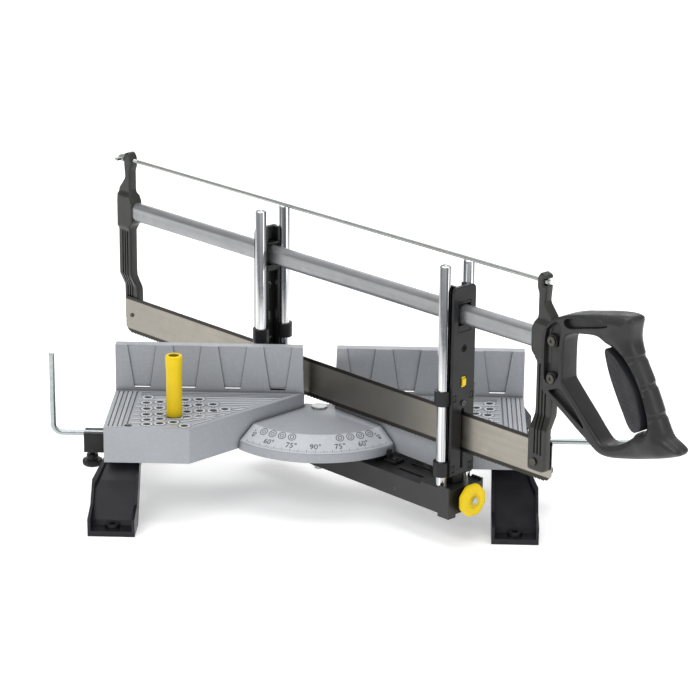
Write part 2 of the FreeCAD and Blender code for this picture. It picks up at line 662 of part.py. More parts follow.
def make_arm():
    body = new_body("arm_casting", swung=True)
    section = new_sketch(body, "YZ", "-arm_back")
    draw_polygon(section, [
        ("-arm_half_width", "arm_bottom"), ("-arm_half_width", "arm_top"),
        ("arm_half_width", "arm_top"), ("arm_half_width", "arm_bottom"),
        ("arm_half_width - arm_wall", "arm_bottom"),
        ("arm_half_width - arm_wall", "arm_top - arm_wall"),
        ("arm_wall - arm_half_width", "arm_top - arm_wall"),
        ("arm_wall - arm_half_width", "arm_bottom"),
    ])
    pad(body, section, "arm_back + arm_front")

    blocks = new_sketch(body, "XY", "arm_bottom")
    draw_box(blocks, "front_block_start", "-arm_half_width", "arm_front", "arm_half_width")
    draw_box(blocks, "-arm_back", "-arm_half_width", "-rear_block_end", "arm_half_width")
    pad(body, blocks, "block_top - arm_bottom")
    cheeks = new_sketch(body, "XY", "arm_top")
    for side in (-1, 1):
        draw_box(
            cheeks, "front_block_start + 22", "%d * (arm_half_width - 2)" % side, "arm_front",
            "%d * arm_half_width" % side
        )
    pad(body, cheeks, "cheek_top - arm_top")
    hub = new_sketch(body, "XY", "arm_bottom")
    draw_circle(hub, "0", "0", "hub_radius")
    pad(body, hub, "quadrant_bottom + 0.3 - arm_bottom")

    # a small lip hangs from the near corner of the front end
    lip = new_sketch(body, "XY", "arm_bottom")
    draw_box(lip, "arm_front - 13", "-arm_half_width", "arm_front", "-arm_half_width + 9")
    pad(body, lip, "-3")

    bores = new_sketch(body, "XY", "block_top")
    for along in ("front_rod", "rear_rod"):
        for side in (-1, 1):
            draw_circle(bores, along, "%d * rod_spacing" % side, "rod_radius + 0.03")
    pocket(body, bores, "rod_bottom - block_top")
    threads = new_sketch(body, "XY", "arm_bottom")
    for along in ("front_rod", "rear_rod"):
        for side in (-1, 1):
            draw_circle(threads, along, "%d * rod_spacing" % side, "set_screw_radius + 0.03")
    pocket(body, threads, "rod_bottom - arm_bottom + 1")
    pivot = new_sketch(body, "XY", "arm_bottom")
    draw_circle(pivot, "0", "0", "pivot_radius + running_gap")
    pocket(body, pivot, "40")

    # the top is slotted for the lock shoe and pierced for the plunger, with two vents
    slots = new_sketch(body, "XY", "arm_top - arm_wall - 1")
    draw_box(slots, "shoe_face_radius - 10.5", "-shoe_half_width - 0.4", "shoe_face_radius + 1.5",
             "shoe_half_width + 0.4")
    draw_circle(slots, "index_radius", "0", "plunger_radius + running_gap")
    draw_box(slots, "vent_start", "vent_near", "vent_end", "vent_far")
    draw_box(slots, "vent_start", "-vent_far", "vent_end", "-vent_near")
    pocket(body, slots, "arm_wall + 2")

    # the lock screw and the rocker pass through the front block
    lock_bore = new_sketch(body, "YZ", "front_block_start - 1")
    draw_circle(lock_bore, "0", "lock_height", "lock_screw_radius + running_gap")
    pocket(body, lock_bore, "arm_front + 2 - front_block_start")
    rocker_way = new_sketch(body, "YZ", "front_block_start - 1")
    draw_box(rocker_way, "rocker_offset - 2.4", "rocker_height - 7.5", "rocker_offset + 2.4",
             "rocker_height + 1.9")
    pocket(body, rocker_way, "arm_front + 2 - front_block_start")
    pin_way = new_sketch(body, "XZ", "-arm_half_width - 1")
    draw_circle(pin_way, "rocker_pivot", "rocker_height", "rocker_pin_radius + 0.03")
    pocket(body, pin_way, "2 * arm_half_width + 2")
    return body


make_arm()


def rod_pair(radius, bottom, height, along, chamfer):
    """A pair of upright bars across the arm with a chamfer at the top."""
    bars = []
    for side in (-1, 1):
        across = "%d * rod_spacing" % side
        bars.append(cylinder(radius, "%s - %s" % (height, chamfer), along, across, bottom))
        bars.append(cone(
            radius, "%s - %s" % (radius, chamfer), chamfer, along, across,
            "%s + %s - %s" % (bottom, height, chamfer)
        ))
    return fuse(bars)


for name, along in (("front_rods", "front_rod"), ("rear_rods", "rear_rod")):
    keep(
        rod_pair("rod_radius", "rod_bottom + 0.05", "(rod_top - rod_bottom - 0.05)", along, "1"),
        name, True
    )

set_screws = []
for along in ("front_rod", "rear_rod"):
    for side in (-1, 1):
        across = "%d * rod_spacing" % side
        set_screws.append(cut(
            cylinder("set_screw_radius", "rod_bottom - arm_bottom - 0.5", along, across,
                     "arm_bottom + 0.4"),
            prism(6, "1.4", "2.5", along, across, "arm_bottom + 0.2")
        ))
keep(fuse(set_screws), "rod_set_screws", True)

for name, along in (("front_stop_block", "front_rod"), ("rear_stop_block", "rear_rod")):
    keep(
        box(along + " - 6", "-6", "block_top + 0.02", along + " + 6", "6",
            "guide_bottom - stop_gap"),
        name, True
    )

keep(
    cut(
        fuse([
            box("quadrant_radius + 0.8", "-6", "arm_top + 0.02", "quadrant_radius + 14", "6",
                "arm_top + 3"),
            box("quadrant_radius + 0.8", "-2", "arm_top + 1", "quadrant_radius + 3", "2",
                "arm_top + 10"),
        ]),
        cylinder("pointer_screw_radius + 0.2", "6", "quadrant_radius + 9", "0", "arm_top - 1")
    ),
    "scale_pointer", True
)
keep(
    screw("quadrant_radius + 9", "0", "arm_top + 3.05", "-z", "pointer_screw_radius", "2.9", "2.8",
          "1.6", "1.2"),
    "pointer_screw", True
)

# ---- lock and index mechanism ----------------------------------------------------------------

knob = prism(8, "knob_radius", "knob_thickness - 1", "knob_back", "0", "lock_height", "x")
knob_front = cone(
    "knob_radius * 0.9", "knob_radius * 0.82", "1", "knob_back + knob_thickness - 1", "0",
    "lock_height", "x"
)
knob_neck = cylinder("4.2", "knob_back - arm_front - 0.3", "arm_front + 0.3", "0", "lock_height",
                     "x")
keep(
    cut(
        fuse([knob, knob_front, knob_neck]),
        cylinder("lock_screw_radius + 0.02", "20", "arm_front", "0", "lock_height", "x")
    ),
    "lock_knob", True
)
keep(
    cylinder(
        "lock_screw_radius", "knob_back + knob_thickness - shoe_face_radius + 11.4",
        "shoe_face_radius - 11", "0", "lock_height", "x"
    ),
    "lock_screw", True
)

shoe_block = box(
    "shoe_face_radius - 8.5", "-shoe_half_width", "lock_height - 6", "shoe_face_radius - 1",
    "shoe_half_width", "arm_top + 9.5"
)
shoe_bore = cylinder(
    "lock_screw_radius + running_gap", "20", "shoe_face_radius - 12", "0", "lock_height", "x"
)
keep(cut(shoe_block, shoe_bore), "lock_shoe", True)

keep(
    fuse([
        cylinder("plunger_radius", "index_ring_bottom - 0.3 - plunger_bottom", "index_radius",
                 "0", "plunger_bottom"),
        cylinder("plunger_radius + 1.2", "2.5", "index_radius", "0", "plunger_bottom"),
    ]),
    "index_plunger", True
)


def make_rocker():
    """Lever under the plunger, rocked by a tab beside the lock knob."""
    body = new_body("release_rocker", swung=True)
    side_view = new_sketch(body, "XZ", "rocker_half - rocker_offset")
    draw_polygon(side_view, [
        ("index_radius - 3", "rocker_height - 1"),
        ("index_radius - 3", "plunger_bottom - 0.4"), ("index_radius + 4", "plunger_bottom - 0.4"),
        ("index_radius + 9", "rocker_height + 1.5"),
        ("arm_front + 1", "rocker_height + 1.5"), ("arm_front + 1", "rocker_height + 5"),
        ("arm_front + 3.6", "rocker_height + 5"), ("arm_front + 3.6", "rocker_height - 2.5"),
        ("rocker_pivot + 6", "rocker_height - 2.5"), ("rocker_pivot", "rocker_height - 4"),
        ("rocker_pivot - 6", "rocker_height - 2.5"),
    ])
    pad(body, side_view, "-2 * rocker_half")
    arm_end = new_sketch(body, "XY", "rocker_height - 1")
    draw_box(arm_end, "index_radius - 3", "-2.5", "index_radius + 4", "rocker_offset")
    pad(body, arm_end, "4.7")
    tab = new_sketch(body, "XY", "rocker_height + 1")
    draw_box(tab, "arm_front + 1", "rocker_offset - rocker_half", "arm_front + 3.6", "17.5")
    pad(body, tab, "4")
    bore = new_sketch(body, "XZ", "0")
    draw_circle(bore, "rocker_pivot", "rocker_height", "rocker_pin_radius + running_gap")
    pocket(body, bore, "-20")
    return body


make_rocker()
keep(
    cylinder("rocker_pin_radius", "2 * arm_half_width", "rocker_pivot", "-arm_half_width",
             "rocker_height", "y"),
    "rocker_pin", True
)

# ---- guides ----------------------------------------------------------------------------------

def make_guide(label, along, side):
    """Upright carrier: a plate on the outer side and a channel behind it, beside the rods."""
    body = new_body(label, swung=True)

    def at(text):
        return "%s + %d * (%s)" % (along, side, text)

    plan = new_sketch(body, "XY", "guide_bottom")
    outline = [
        ("-guide_inner", "channel_half"), ("channel_floor", "channel_half"),
        ("channel_floor", "-channel_half"), ("-guide_inner", "-channel_half"),
        ("-guide_inner", "-guide_web"), ("guide_half_depth - guide_plate", "-guide_web"),
        ("guide_half_depth - guide_plate", "-guide_half_width"),
        ("guide_half_depth", "-guide_half_width"), ("guide_half_depth", "guide_half_width"),
        ("guide_half_depth - guide_plate", "guide_half_width"),
        ("guide_half_depth - guide_plate", "guide_web"), ("-guide_inner", "guide_web"),
    ]
    draw_polygon(plan, [(at(x), y) for x, y in outline])
    pad(body, plan, "guide_top - guide_bottom")

    # rounded seats for the four bushings
    for foot in ("guide_bottom", "upper_bushing"):
        seats = new_sketch(body, "XY", foot + " - 0.1")
        for hand in (-1, 1):
            draw_circle(seats, along, "%d * rod_spacing" % hand, "bushing_radius + 0.1")
        pocket(body, seats, "bushing_height + 0.2")

    # openings that go through along the arm
    windows = new_sketch(body, "YZ", along + " - guide_half_depth - 1")
    draw_box(windows, "-window_half", "window_bottom", "window_half", "window_top")
    draw_circle(windows, "0", "sight_hole_height", "sight_hole_radius")
    draw_box(windows, "-latch_half", "latch_bottom", "latch_half", "latch_top")
    draw_box(
        windows, "-blade_slot_half", "guide_bottom + 6", "blade_slot_half", "blade_slot_top"
    )
    for foot in ("guide_bottom", "upper_bushing"):
        for hand in (-1, 1):
            draw_box(
                windows, "%d * 8.6" % hand, foot + " + 3.6", "%d * 12" % hand, foot + " + 9.4"
            )
    pocket(body, windows, "2 * guide_half_depth + 2")
    pilot = new_sketch(body, "YZ", at("guide_half_depth + 1"))
    draw_circle(pilot, "0", "guide_screw_height", "guide_screw_radius + running_gap")
    pocket(body, pilot, "%d * -9" % side)

    # rounded top corners
    corners = new_sketch(body, "YZ", along + " - guide_half_depth - 1")
    for hand in (-1, 1):
        arc = [
            ("%d * (guide_half_width - guide_corner + guide_corner * cos(%s))" % (hand, turn),
             "guide_top - guide_corner + guide_corner * sin(%s)" % turn)
            for turn in ("0deg", "22.5deg", "45deg", "67.5deg", "90deg")
        ]
        draw_polygon(corners, arc + [
            ("%d * (guide_half_width - guide_corner)" % hand, "guide_top + 2"),
            ("%d * (guide_half_width + 2)" % hand, "guide_top + 2"),
            ("%d * (guide_half_width + 2)" % hand, "guide_top - guide_corner"),
        ])
    pocket(body, corners, "2 * guide_half_depth + 2")
    return body


for name, along, side in (("front", "front_rod", 1), ("rear", "rear_rod", -1)):
    make_guide(name + "_guide", along, side)
    inner = min("%s - %d * guide_inner" % (along, side),
                "%s + %d * (guide_half_depth - 0.2)" % (along, side), key=value)
    outer = max("%s - %d * guide_inner" % (along, side),
                "%s + %d * (guide_half_depth - 0.2)" % (along, side), key=value)

    bushings = []
    for foot in ("guide_bottom", "upper_bushing"):
        for hand in (-1, 1):
            across = "%d * rod_spacing" % hand
            sleeve = cylinder("bushing_radius", "bushing_height", along, across, foot)
            lug = box(
                inner, "%d * 10.3 - 1.5" % hand, foot + " + 3.8", outer,
                "%d * 10.3 + 1.5" % hand, foot + " + 9.2"
            )
            bore = cylinder(
                "rod_radius + running_gap", "bushing_height + 2", along, across, foot + " - 1"
            )
            bushings.append(cut(fuse([sleeve, lug]), bore))
    keep(fuse(bushings), name + "_guide_bushings", True)

    pads = []
    for low, high in (
        ("window_bottom + 0.05", "spine_height - spine_half_height - 0.3"),
        ("spine_height + spine_half_height + 0.3", "window_top - 0.05"),
    ):
        pads.append(box(inner, "-window_half + 0.05", low, outer, "window_half - 0.05", high))
    keep(fuse(pads), name + "_spine_pads", True)
    keep(
        screw("%s + %d * (guide_half_depth + 0.05)" % (along, side), "0", "guide_screw_height",
              "-x" if side > 0 else "x", "guide_screw_radius", "7", "2.4", "1.2", "1"),
        name + "_guide_screw", True
    )

keep(
    fuse([
        box("front_rod - guide_inner", "0.3 - latch_half", "latch_bottom + 0.3", "front_rod + 10.2",
            "latch_half - 0.3", "latch_top - 0.3"),
        box("front_rod + 10.2", "0.3 - latch_half", "latch_bottom + 2", "front_rod + 11.4",
            "latch_half - 0.3", "latch_top - 2"),
    ]),
    "carry_latch", True
)

# ---- saw -------------------------------------------------------------------------------------

def make_blade():
    body = new_body("saw_blade", swung=True)
    side_view = new_sketch(body, "XZ", "-blade_thickness / 2")
    draw_polygon(side_view, [
        ("blade_back", "blade_top"), ("blade_front", "blade_top"),
        ("blade_front", "blade_bottom + 5"), ("blade_front - 5", "blade_bottom"),
        ("blade_back + 5", "blade_bottom"), ("blade_back", "blade_bottom + 5"),
    ])
    for along in ("rear_pin", "front_pin"):
        draw_circle(side_view, along, "blade_pin_height", "2")
    pad(body, side_view, "blade_thickness")
    return body


make_blade()


def stadium(left, right, half_width, half_height):
    """Solid bar along the arm with a rounded top and bottom."""
    core = "(%s - %s)" % (half_height, half_width)
    length = "(%s) - (%s)" % (right, left)
    return fuse([
        box(left, "-" + half_width, "spine_height - " + core, right, half_width,
            "spine_height + " + core),
        cylinder(half_width, length, left, "0", "spine_height + " + core, "x"),
        cylinder(half_width, length, left, "0", "spine_height - " + core, "x"),
    ])


keep(
    cut(
        stadium("rear_pin - spine_reach", "front_pin + spine_reach", "spine_half_width",
                "spine_half_height"),
        stadium("rear_pin - 20", "front_pin + 20", "(spine_half_width - spine_wall)",
                "(spine_half_height - spine_wall)")
    ),
    "frame_spine", True
)

# Outline of a post seen from the side: distance outwards from the blade pin, and height.
POST = [
    ("-7.5", "93"), ("-7.5", "126"), ("-5.2", "136"), ("-4", "146"), ("-4", "190.5"),
    ("-9.2", "196"), ("-9.2", "216"), ("-4", "226"), ("-4", "246"), ("-6", "250"), ("-6", "259"),
    ("-2", "264"), ("4.5", "261"), ("4.5", "252"), ("3.2", "238.5"), ("12.5", "227"),
    ("13.6", "215"), ("13.6", "147"), ("12.6", "131"), ("12.2", "122"), ("12.2", "95"),
    ("7", "93"),
]
# Sides of a post seen along the arm: distance from the blade's plane towards the foot's side,
# and height. The web is centred, thickens round the spine and steps aside to the foot.
POST_BACK = [
    [("blade_side_gap", "89"), ("blade_side_gap", "130"), ("-post_web", "142"),
     ("-post_web", "187"), ("-post_half", "190"), ("-12", "190"), ("-12", "89")],
    [("-12", "221"), ("-post_half", "221"), ("-post_web", "224"), ("-post_web", "270"),
     ("-12", "270")],
]
POST_FACE = [
    [("post_side", "130"), ("post_web", "142"), ("post_web", "187"), ("post_half", "190"),
     ("post_half", "221"), ("post_web", "224"), ("post_web", "270"), ("12", "270"),
     ("12", "130")],
]


def make_post(label, pin, end):
    """Casting that joins the spine, blade and tension rod; end is +1 in front, -1 behind."""
    body = new_body(label, swung=True)

    def at(text):
        return "%s + %d * (%s)" % (pin, end, text)

    outline = new_sketch(body, "XZ", "%d * post_half * -1" % end)
    draw_polygon(outline, [(at(x), z) for x, z in POST])
    pad(body, outline, "%d * (post_half + post_side)" % end)

    sides = new_sketch(body, "YZ", at("-20"))
    for outline in POST_BACK + POST_FACE:
        draw_polygon(sides, [("%d * (%s)" % (-end, reach), z) for reach, z in outline])
    pocket(body, sides, "%d * 45" % end)

    # three grooves down each face of the web, and on down the foot
    for side, reach, bottom, top in (
        (-1, "post_web", "144", "186"), (1, "post_web", "144", "186"), (1, "post_side", "108", "129")
    ):
        grooves = new_sketch(body, "XZ", "%d * %s" % (side * end, reach))
        for across in ("0.2", "3.7", "7.2"):
            draw_box(grooves, at(across + " - 0.8"), bottom, at(across + " + 0.8"), top)
        pocket(body, grooves, "%d * -1.2" % (side * end))

    # socket for the spine, a notch for the tension rod and a hole for the blade pin
    socket = new_sketch(body, "YZ", at("-11"))
    draw_box(
        socket, "-spine_half_width - 0.05", "spine_height - spine_half_height - 0.05",
        "spine_half_width + 0.05", "spine_height + spine_half_height + 0.05"
    )
    pocket(body, socket, "%d * (spine_reach + 11.3)" % end)
    notch = new_sketch(body, "YZ", at("-8"))
    draw_circle(notch, "0", "tension_height", "tension_radius + 0.25")
    pocket(body, notch, "%d * 14" % end)
    pin_hole = new_sketch(body, "XZ", "%d * 0.5" % end)
    draw_circle(pin_hole, pin, "blade_pin_height", "blade_pin_radius + 0.08")
    pocket(body, pin_hole, "%d * 9" % end)
    return body


HANDLE_SCREWS = ["handle_screw_high", "handle_screw_low"]
make_post("rear_post", "rear_pin", -1)
front_post = make_post("front_post", "front_pin", 1)
tang = new_sketch(front_post, "XZ", "-tang_half")
draw_box(tang, "front_pin + 12", "tang_bottom", "front_pin + tang_reach", "tang_top")
pad(front_post, tang, "2 * tang_half")
tang_holes = new_sketch(front_post, "XZ", "-tang_half - 1")
for height in HANDLE_SCREWS:
    draw_circle(tang_holes, "handle_screw_reach", height, "handle_screw_radius + 0.1")
pocket(front_post, tang_holes, "2 * tang_half + 2")

keep(
    fuse([
        fuse([
            cylinder("blade_pin_radius", "post_side + 1.6", pin, "%d * -1.5" % side,
                     "blade_pin_height", axis),
            cylinder("blade_pin_head", "1.4", pin, "%d * (post_side + 0.02)" % side,
                     "blade_pin_height", axis),
        ])
        for pin, side, axis in (("front_pin", -1, "-y"), ("rear_pin", 1, "y"))
    ]),
    "blade_pins", True
)
nut_bay = new_sketch(front_post, "XZ", "-3.5")
draw_box(nut_bay, "front_pin + 0.4", "tension_height - 2.8", "front_pin + 6",
         "tension_height + 2.8")
pocket(front_post, nut_bay, "post_half + 4.5")

keep(
    cylinder("tension_radius", "front_pin + 4 - tension_back", "tension_back", "0",
             "tension_height", "x"),
    "tension_rod", True
)
keep(
    cut(
        prism(6, "2.65", "2.6", "front_pin + 0.5", "0", "tension_height", "x"),
        cylinder("tension_radius + 0.02", "6", "front_pin - 1", "0", "tension_height", "x")
    ),
    "tension_end_nut", True
)
keep(
    cut(
        fuse([
            cylinder("3.6", "6", "rear_pin - 12.3", "0", "tension_height", "x"),
            box("rear_pin - 11.8", "-9.5", "tension_height - 1.3", "rear_pin - 7.8", "9.5",
                "tension_height + 1.3"),
        ]),
        cylinder("tension_radius + 0.03", "12", "rear_pin - 15", "0", "tension_height", "x")
    ),
    "tension_wing_nut", True
)

# Outline of the closed handle seen from the side: distance along the arm, and height.
HANDLE = [
    ("277", "167"), ("277", "214.5"), ("281", "222"), ("286", "228"), ("295", "233"),
    ("309", "238"), ("330", "243"), ("350", "247.5"), ("366", "249.3"), ("371", "246"),
    ("369.5", "237"), ("370", "227"), ("377", "213.6"), ("387", "198"), ("398", "177"),
    ("408", "158.5"), ("418.5", "154"), ("424.5", "150.5"), ("424", "147"), ("405.6", "139"),
    ("376.5", "131"), ("349", "125.8"), ("343", "126.5"), ("335.7", "130"), ("321.5", "139.5"),
    ("297.5", "155"), ("280", "164.5"),
]
HANDLE_OPENING = [
    ("300", "212"), ("302", "218"), ("309", "222"), ("329", "225"), ("337", "225"),
    ("345.5", "220.5"), ("350", "207"), ("356", "193.5"), ("366", "175"), ("377.5", "154"),
    ("376", "150"), ("366", "142.5"), ("357", "138"), ("350", "136"), ("343", "138"),
    ("338", "142.5"), ("301.5", "177.5"), ("300", "181"),
]
GRIP = [
    ("345.5", "220.5"), ("349", "234"), ("370", "227"), ("377", "213.6"), ("387", "198"),
    ("398", "177"), ("407", "160"), ("377.5", "154"), ("366", "175"), ("356", "193.5"),
    ("350", "207"),
]
INSERT = [
    ("347.5", "219.5"), ("351.5", "207.5"), ("357.5", "194"), ("367.5", "175.5"),
    ("378.5", "155.5"), ("388", "158.5"), ("390", "165"), ("386", "180"), ("376", "199"),
    ("363", "214.5"),
]


def make_handle():
    """Closed pistol handle that clasps the outer edge of the front post."""
    body = new_body("handle", swung=True)
    outline = new_sketch(body, "XZ", "-handle_half")
    draw_polygon(outline, HANDLE)
    pad(body, outline, "2 * handle_half")
    grip = new_sketch(body, "XZ", "-grip_half")
    draw_polygon(grip, GRIP)
    pad(body, grip, "2 * grip_half")
    opening = new_sketch(body, "XZ", "-grip_half - 1")
    draw_polygon(opening, HANDLE_OPENING)
    pocket(body, opening, "2 * grip_half + 2")

    # seat for the rubber insert, for the post and for the tang on the post
    seat = new_sketch(body, "XZ", "-grip_half - 1")
    draw_polygon(seat, INSERT)
    pocket(body, seat, "insert_depth + 1")
    seat_near = new_sketch(body, "XZ", "grip_half + 1")
    draw_polygon(seat_near, INSERT)
    pocket(body, seat_near, "-insert_depth - 1")
    for half, bottom, top in (("post_web", "120", "250"), ("post_half", "186.8", "224.2")):
        clasp = new_sketch(body, "XZ", "-%s - 0.15" % half)
        draw_box(clasp, "front_pin - 20", bottom, "front_pin + 13.75", top)
        pocket(body, clasp, "2 * %s + 0.3" % half)
    tang_way = new_sketch(body, "XZ", "-tang_half - 0.1")
    draw_box(tang_way, "front_pin + 13", "tang_bottom - 0.2", "front_pin + tang_reach + 0.2",
             "tang_top + 0.2")
    pocket(body, tang_way, "2 * tang_half + 0.2")
    holes = new_sketch(body, "XZ", "-handle_half - 1")
    for height in HANDLE_SCREWS:
        draw_circle(holes, "handle_screw_reach", height, "handle_screw_radius + 0.1")
    pocket(body, holes, "2 * handle_half + 2")

    # shallow finger pockets on both faces
    for face in (-1, 1):
        hollows = new_sketch(body, "XZ", "%d * handle_half" % face)
        draw_polygon(hollows, [("300", "228.5"), ("330", "237"), ("352", "239"), ("330", "231"),
                               ("305", "225")])
        draw_polygon(hollows, [("301", "170"), ("301", "160"), ("330", "141"), ("332", "143.5")])
        pocket(body, hollows, "%d * -1.5" % face)
    return body


make_handle()


def make_insert():
    """Rubber cheeks let into both sides of the grip."""
    cheeks = []
    for face in (-1, 1):
        body = new_body("insert_half_%d" % (face + 1), swung=False)
        del pieces[body.Label]
        outline = new_sketch(body, "XZ", "%d * (grip_half - insert_depth + 0.1)" % face)
        draw_polygon(outline, INSERT)
        pad(body, outline, "%d * (insert_depth + 0.6)" % face)
        cheeks.append(body)
    return fuse(cheeks)


keep(make_insert(), "grip_inserts", True)
keep(
    fuse([
        cut(
            fuse([
                cylinder("handle_screw_radius", "2 * handle_half + 0.5", "handle_screw_reach",
                         "handle_half", height, "-y"),
                cylinder("4", "1.4", "handle_screw_reach", "-handle_half - 0.03", height, "-y"),
            ]),
            prism(6, "1.6", "2", "handle_screw_reach", "-handle_half - 0.6", height, "-y")
        )
        for height in HANDLE_SCREWS
    ]),
    "handle_screws", True
)

# ---- length stop -----------------------------------------------------------------------------

bend = doc.addObject("Part::Torus", "Bend")
bend.setExpression("Radius1", bound("stop_bend"))
bend.setExpression("Radius2", bound("stop_rod_radius"))
bend.Angle3 = 90
place(
    bend, "stop_rod_left + stop_bend", "-stop_rod_front", "stop_rod_height + stop_bend",
    FreeCAD.Rotation(FreeCAD.Vector(-1, 0, 0), FreeCAD.Vector(0, 0, -1), FreeCAD.Vector(0, -1, 0))
)
keep(
    fuse([
        cylinder("stop_rod_radius", "stop_rod_right - stop_rod_left - stop_bend",
                 "stop_rod_left + stop_bend", "-stop_rod_front", "stop_rod_height", "x"),
        bend,
        cylinder("stop_rod_radius", "stop_rod_top - stop_rod_height - stop_bend",
                 "stop_rod_left", "-stop_rod_front", "stop_rod_height + stop_bend"),
    ]),
    "length_stop_rod", False
)


def make_bracket(label, side):
    """Bracket beside a bed that the rod lies on, with a thread for the thumbscrew."""
    body = new_body(label)

    def out(text):
        return "%d * (%s)" % (side, text)

    flange = new_sketch(body, "YZ", out("bed_half_width + 0.05"))
    draw_box(flange, "-stop_rod_front - 17", "bed_bottom + 1", "-stop_rod_front + 17",
             "bed_bottom + 17")
    pad(body, flange, out("3"))
    shelf = new_sketch(body, "YZ", out("bed_half_width + 0.05"))
    draw_box(shelf, "-stop_rod_front - 7.5", "bracket_bottom", "-stop_rod_front + 7.5",
             "stop_rod_height + 2")
    pad(body, shelf, out("bracket_reach"))
    groove = new_sketch(body, "YZ", out("bed_half_width - 1"))
    draw_box(groove, "-stop_rod_front - stop_rod_radius - 0.3", "stop_rod_height - 2.8",
             "-stop_rod_front + stop_rod_radius + 0.3", "stop_rod_height + 12")
    pocket(body, groove, out("bracket_reach + 2"))
    thread = new_sketch(body, "XY", "bracket_bottom - 1")
    draw_circle(
        thread, out("thumbscrew_across"), "-stop_rod_front", "thumbscrew_radius + running_gap"
    )
    pocket(body, thread, "16")
    holes = new_sketch(body, "YZ", out("bed_half_width - 1"))
    for along in BRACKET_SCREWS:
        draw_circle(
            holes, "-(%s)" % along, "bed_bottom + bracket_screw_rise", "bracket_screw_radius + 0.2"
        )
    pocket(body, holes, out("6"))
    return body


bracket_screws = []
for side, name in ((-1, "left"), (1, "right")):
    make_bracket(name + "_stop_bracket", side)
    inward = "x" if side < 0 else "-x"
    for along in BRACKET_SCREWS:
        bracket_screws.append(screw(
            "%d * (bed_half_width + 3.1)" % side, "-(%s)" % along,
            "bed_bottom + bracket_screw_rise", inward, "bracket_screw_radius", "6.5", "3", "1.8",
            "1.3"
        ))
    across = "%d * thumbscrew_across" % side
    keep(
        fuse([
            cylinder("thumbscrew_radius", "stop_rod_height - stop_rod_radius - 0.3 - 34", across,
                     "-stop_rod_front", "34"),
            cylinder("5.5", "6.5", across, "-stop_rod_front", "36"),
            cone("8", "9", "1.5", across, "-stop_rod_front", "31.5"),
            cylinder("9", "4.5", across, "-stop_rod_front", "33"),
        ]),
        name + "_stop_thumbscrew", False
    )
keep(fuse(bracket_screws), "stop_bracket_screws", False)

# ---- clamp peg and cam -----------------------------------------------------------------------

keep(
    fuse([
        cylinder("peg_hole_radius - 0.05", "17", "peg_across", "peg_along", "bed_top - 17"),
        cylinder("3.2", "cam_height - 8", "peg_across", "peg_along", "bed_top"),
    ]),
    "clamp_peg", False
)
cam = fuse([
    cylinder("cam_radius", "cam_height - 0.4", "peg_across", "peg_along", "bed_top + 0.4"),
    cylinder("cam_radius - 1.2", "1", "peg_across", "peg_along", "bed_top + cam_height - 0.5"),
])
cam_bore = cylinder("3.25", "cam_height - 5", "peg_across", "peg_along", "bed_top - 0.5")
cam_recess = cylinder("4.6", "6", "peg_across", "peg_along", "bed_top + cam_height - 2.5")
cam_flat = box("peg_across - 20", "peg_along - 20", "bed_top + cam_height - 12",
               "peg_across + 20", "peg_along - cam_radius + 1.2", "bed_top + cam_height - 9")
keep(cut(cam, fuse([cam_bore, cam_recess, cam_flat])), "clamp_cam", False)

# ---- screws between the quadrant and the beds ------------------------------------------------

edge_angle = math.atan2(value("bed_front"), value("bed_corner - gap_half"))
quadrant_screws = []
for side in (-1, 1):
    for along in ("20", "34"):
        shank = cylinder("1.5", "6.2", "0", "0", "-6.2")
        head = cylinder("2.8", "1.6", "0", "0", "0")
        item = fuse([shank, head])
        outward = FreeCAD.Vector(side * math.sin(edge_angle), math.cos(edge_angle), 0)
        turn = FreeCAD.Rotation(FreeCAD.Vector(0, 0, 1), outward)
        seat = diagonal(along, "bed_wall + 0.05")
        place(item, "%d * (%s)" % (side, seat), "-" + along, "68", turn)
        quadrant_screws.append(item)
keep(fuse(quadrant_screws), "quadrant_screws", False)

# ---- check and write -------------------------------------------------------------------------

doc.recompute()
for item in doc.Objects:
    if "Invalid" in item.State or "Error" in item.State:
        raise RuntimeError("%s failed: %s" % (item.Label, item.State))
for label, piece in pieces.items():
    if piece.Shape.isNull() or not piece.Shape.isValid() or not piece.Shape.Solids:
        raise RuntimeError("%s has no valid solid" % label)

os.makedirs("parts", exist_ok=True)
for label, piece in pieces.items():
    piece.Shape.exportStep(os.path.join("parts", label + ".step"))
    print("%-22s %2d solids %9.1f mm3" % (label, len(piece.Shape.Solids), piece.Shape.Volume))
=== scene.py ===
import json
import math

import bmesh
import bpy
import numpy as np
from mathutils import Matrix, Vector
from mathutils.geometry import delaunay_2d_cdt


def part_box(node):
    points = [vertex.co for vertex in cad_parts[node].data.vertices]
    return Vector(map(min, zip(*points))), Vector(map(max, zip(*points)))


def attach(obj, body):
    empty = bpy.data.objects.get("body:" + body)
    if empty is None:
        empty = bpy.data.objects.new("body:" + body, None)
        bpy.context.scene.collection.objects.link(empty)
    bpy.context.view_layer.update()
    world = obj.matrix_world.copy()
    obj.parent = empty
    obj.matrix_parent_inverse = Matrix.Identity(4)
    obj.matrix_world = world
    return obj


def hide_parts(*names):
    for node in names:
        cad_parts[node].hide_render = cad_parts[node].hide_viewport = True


# A clamping mitre box with its saw, on a pale studio floor. Metres, in the frame of the packed
# model: +X along the fence, +Y from the front to the back, +Z up, origin under the arm's pivot.

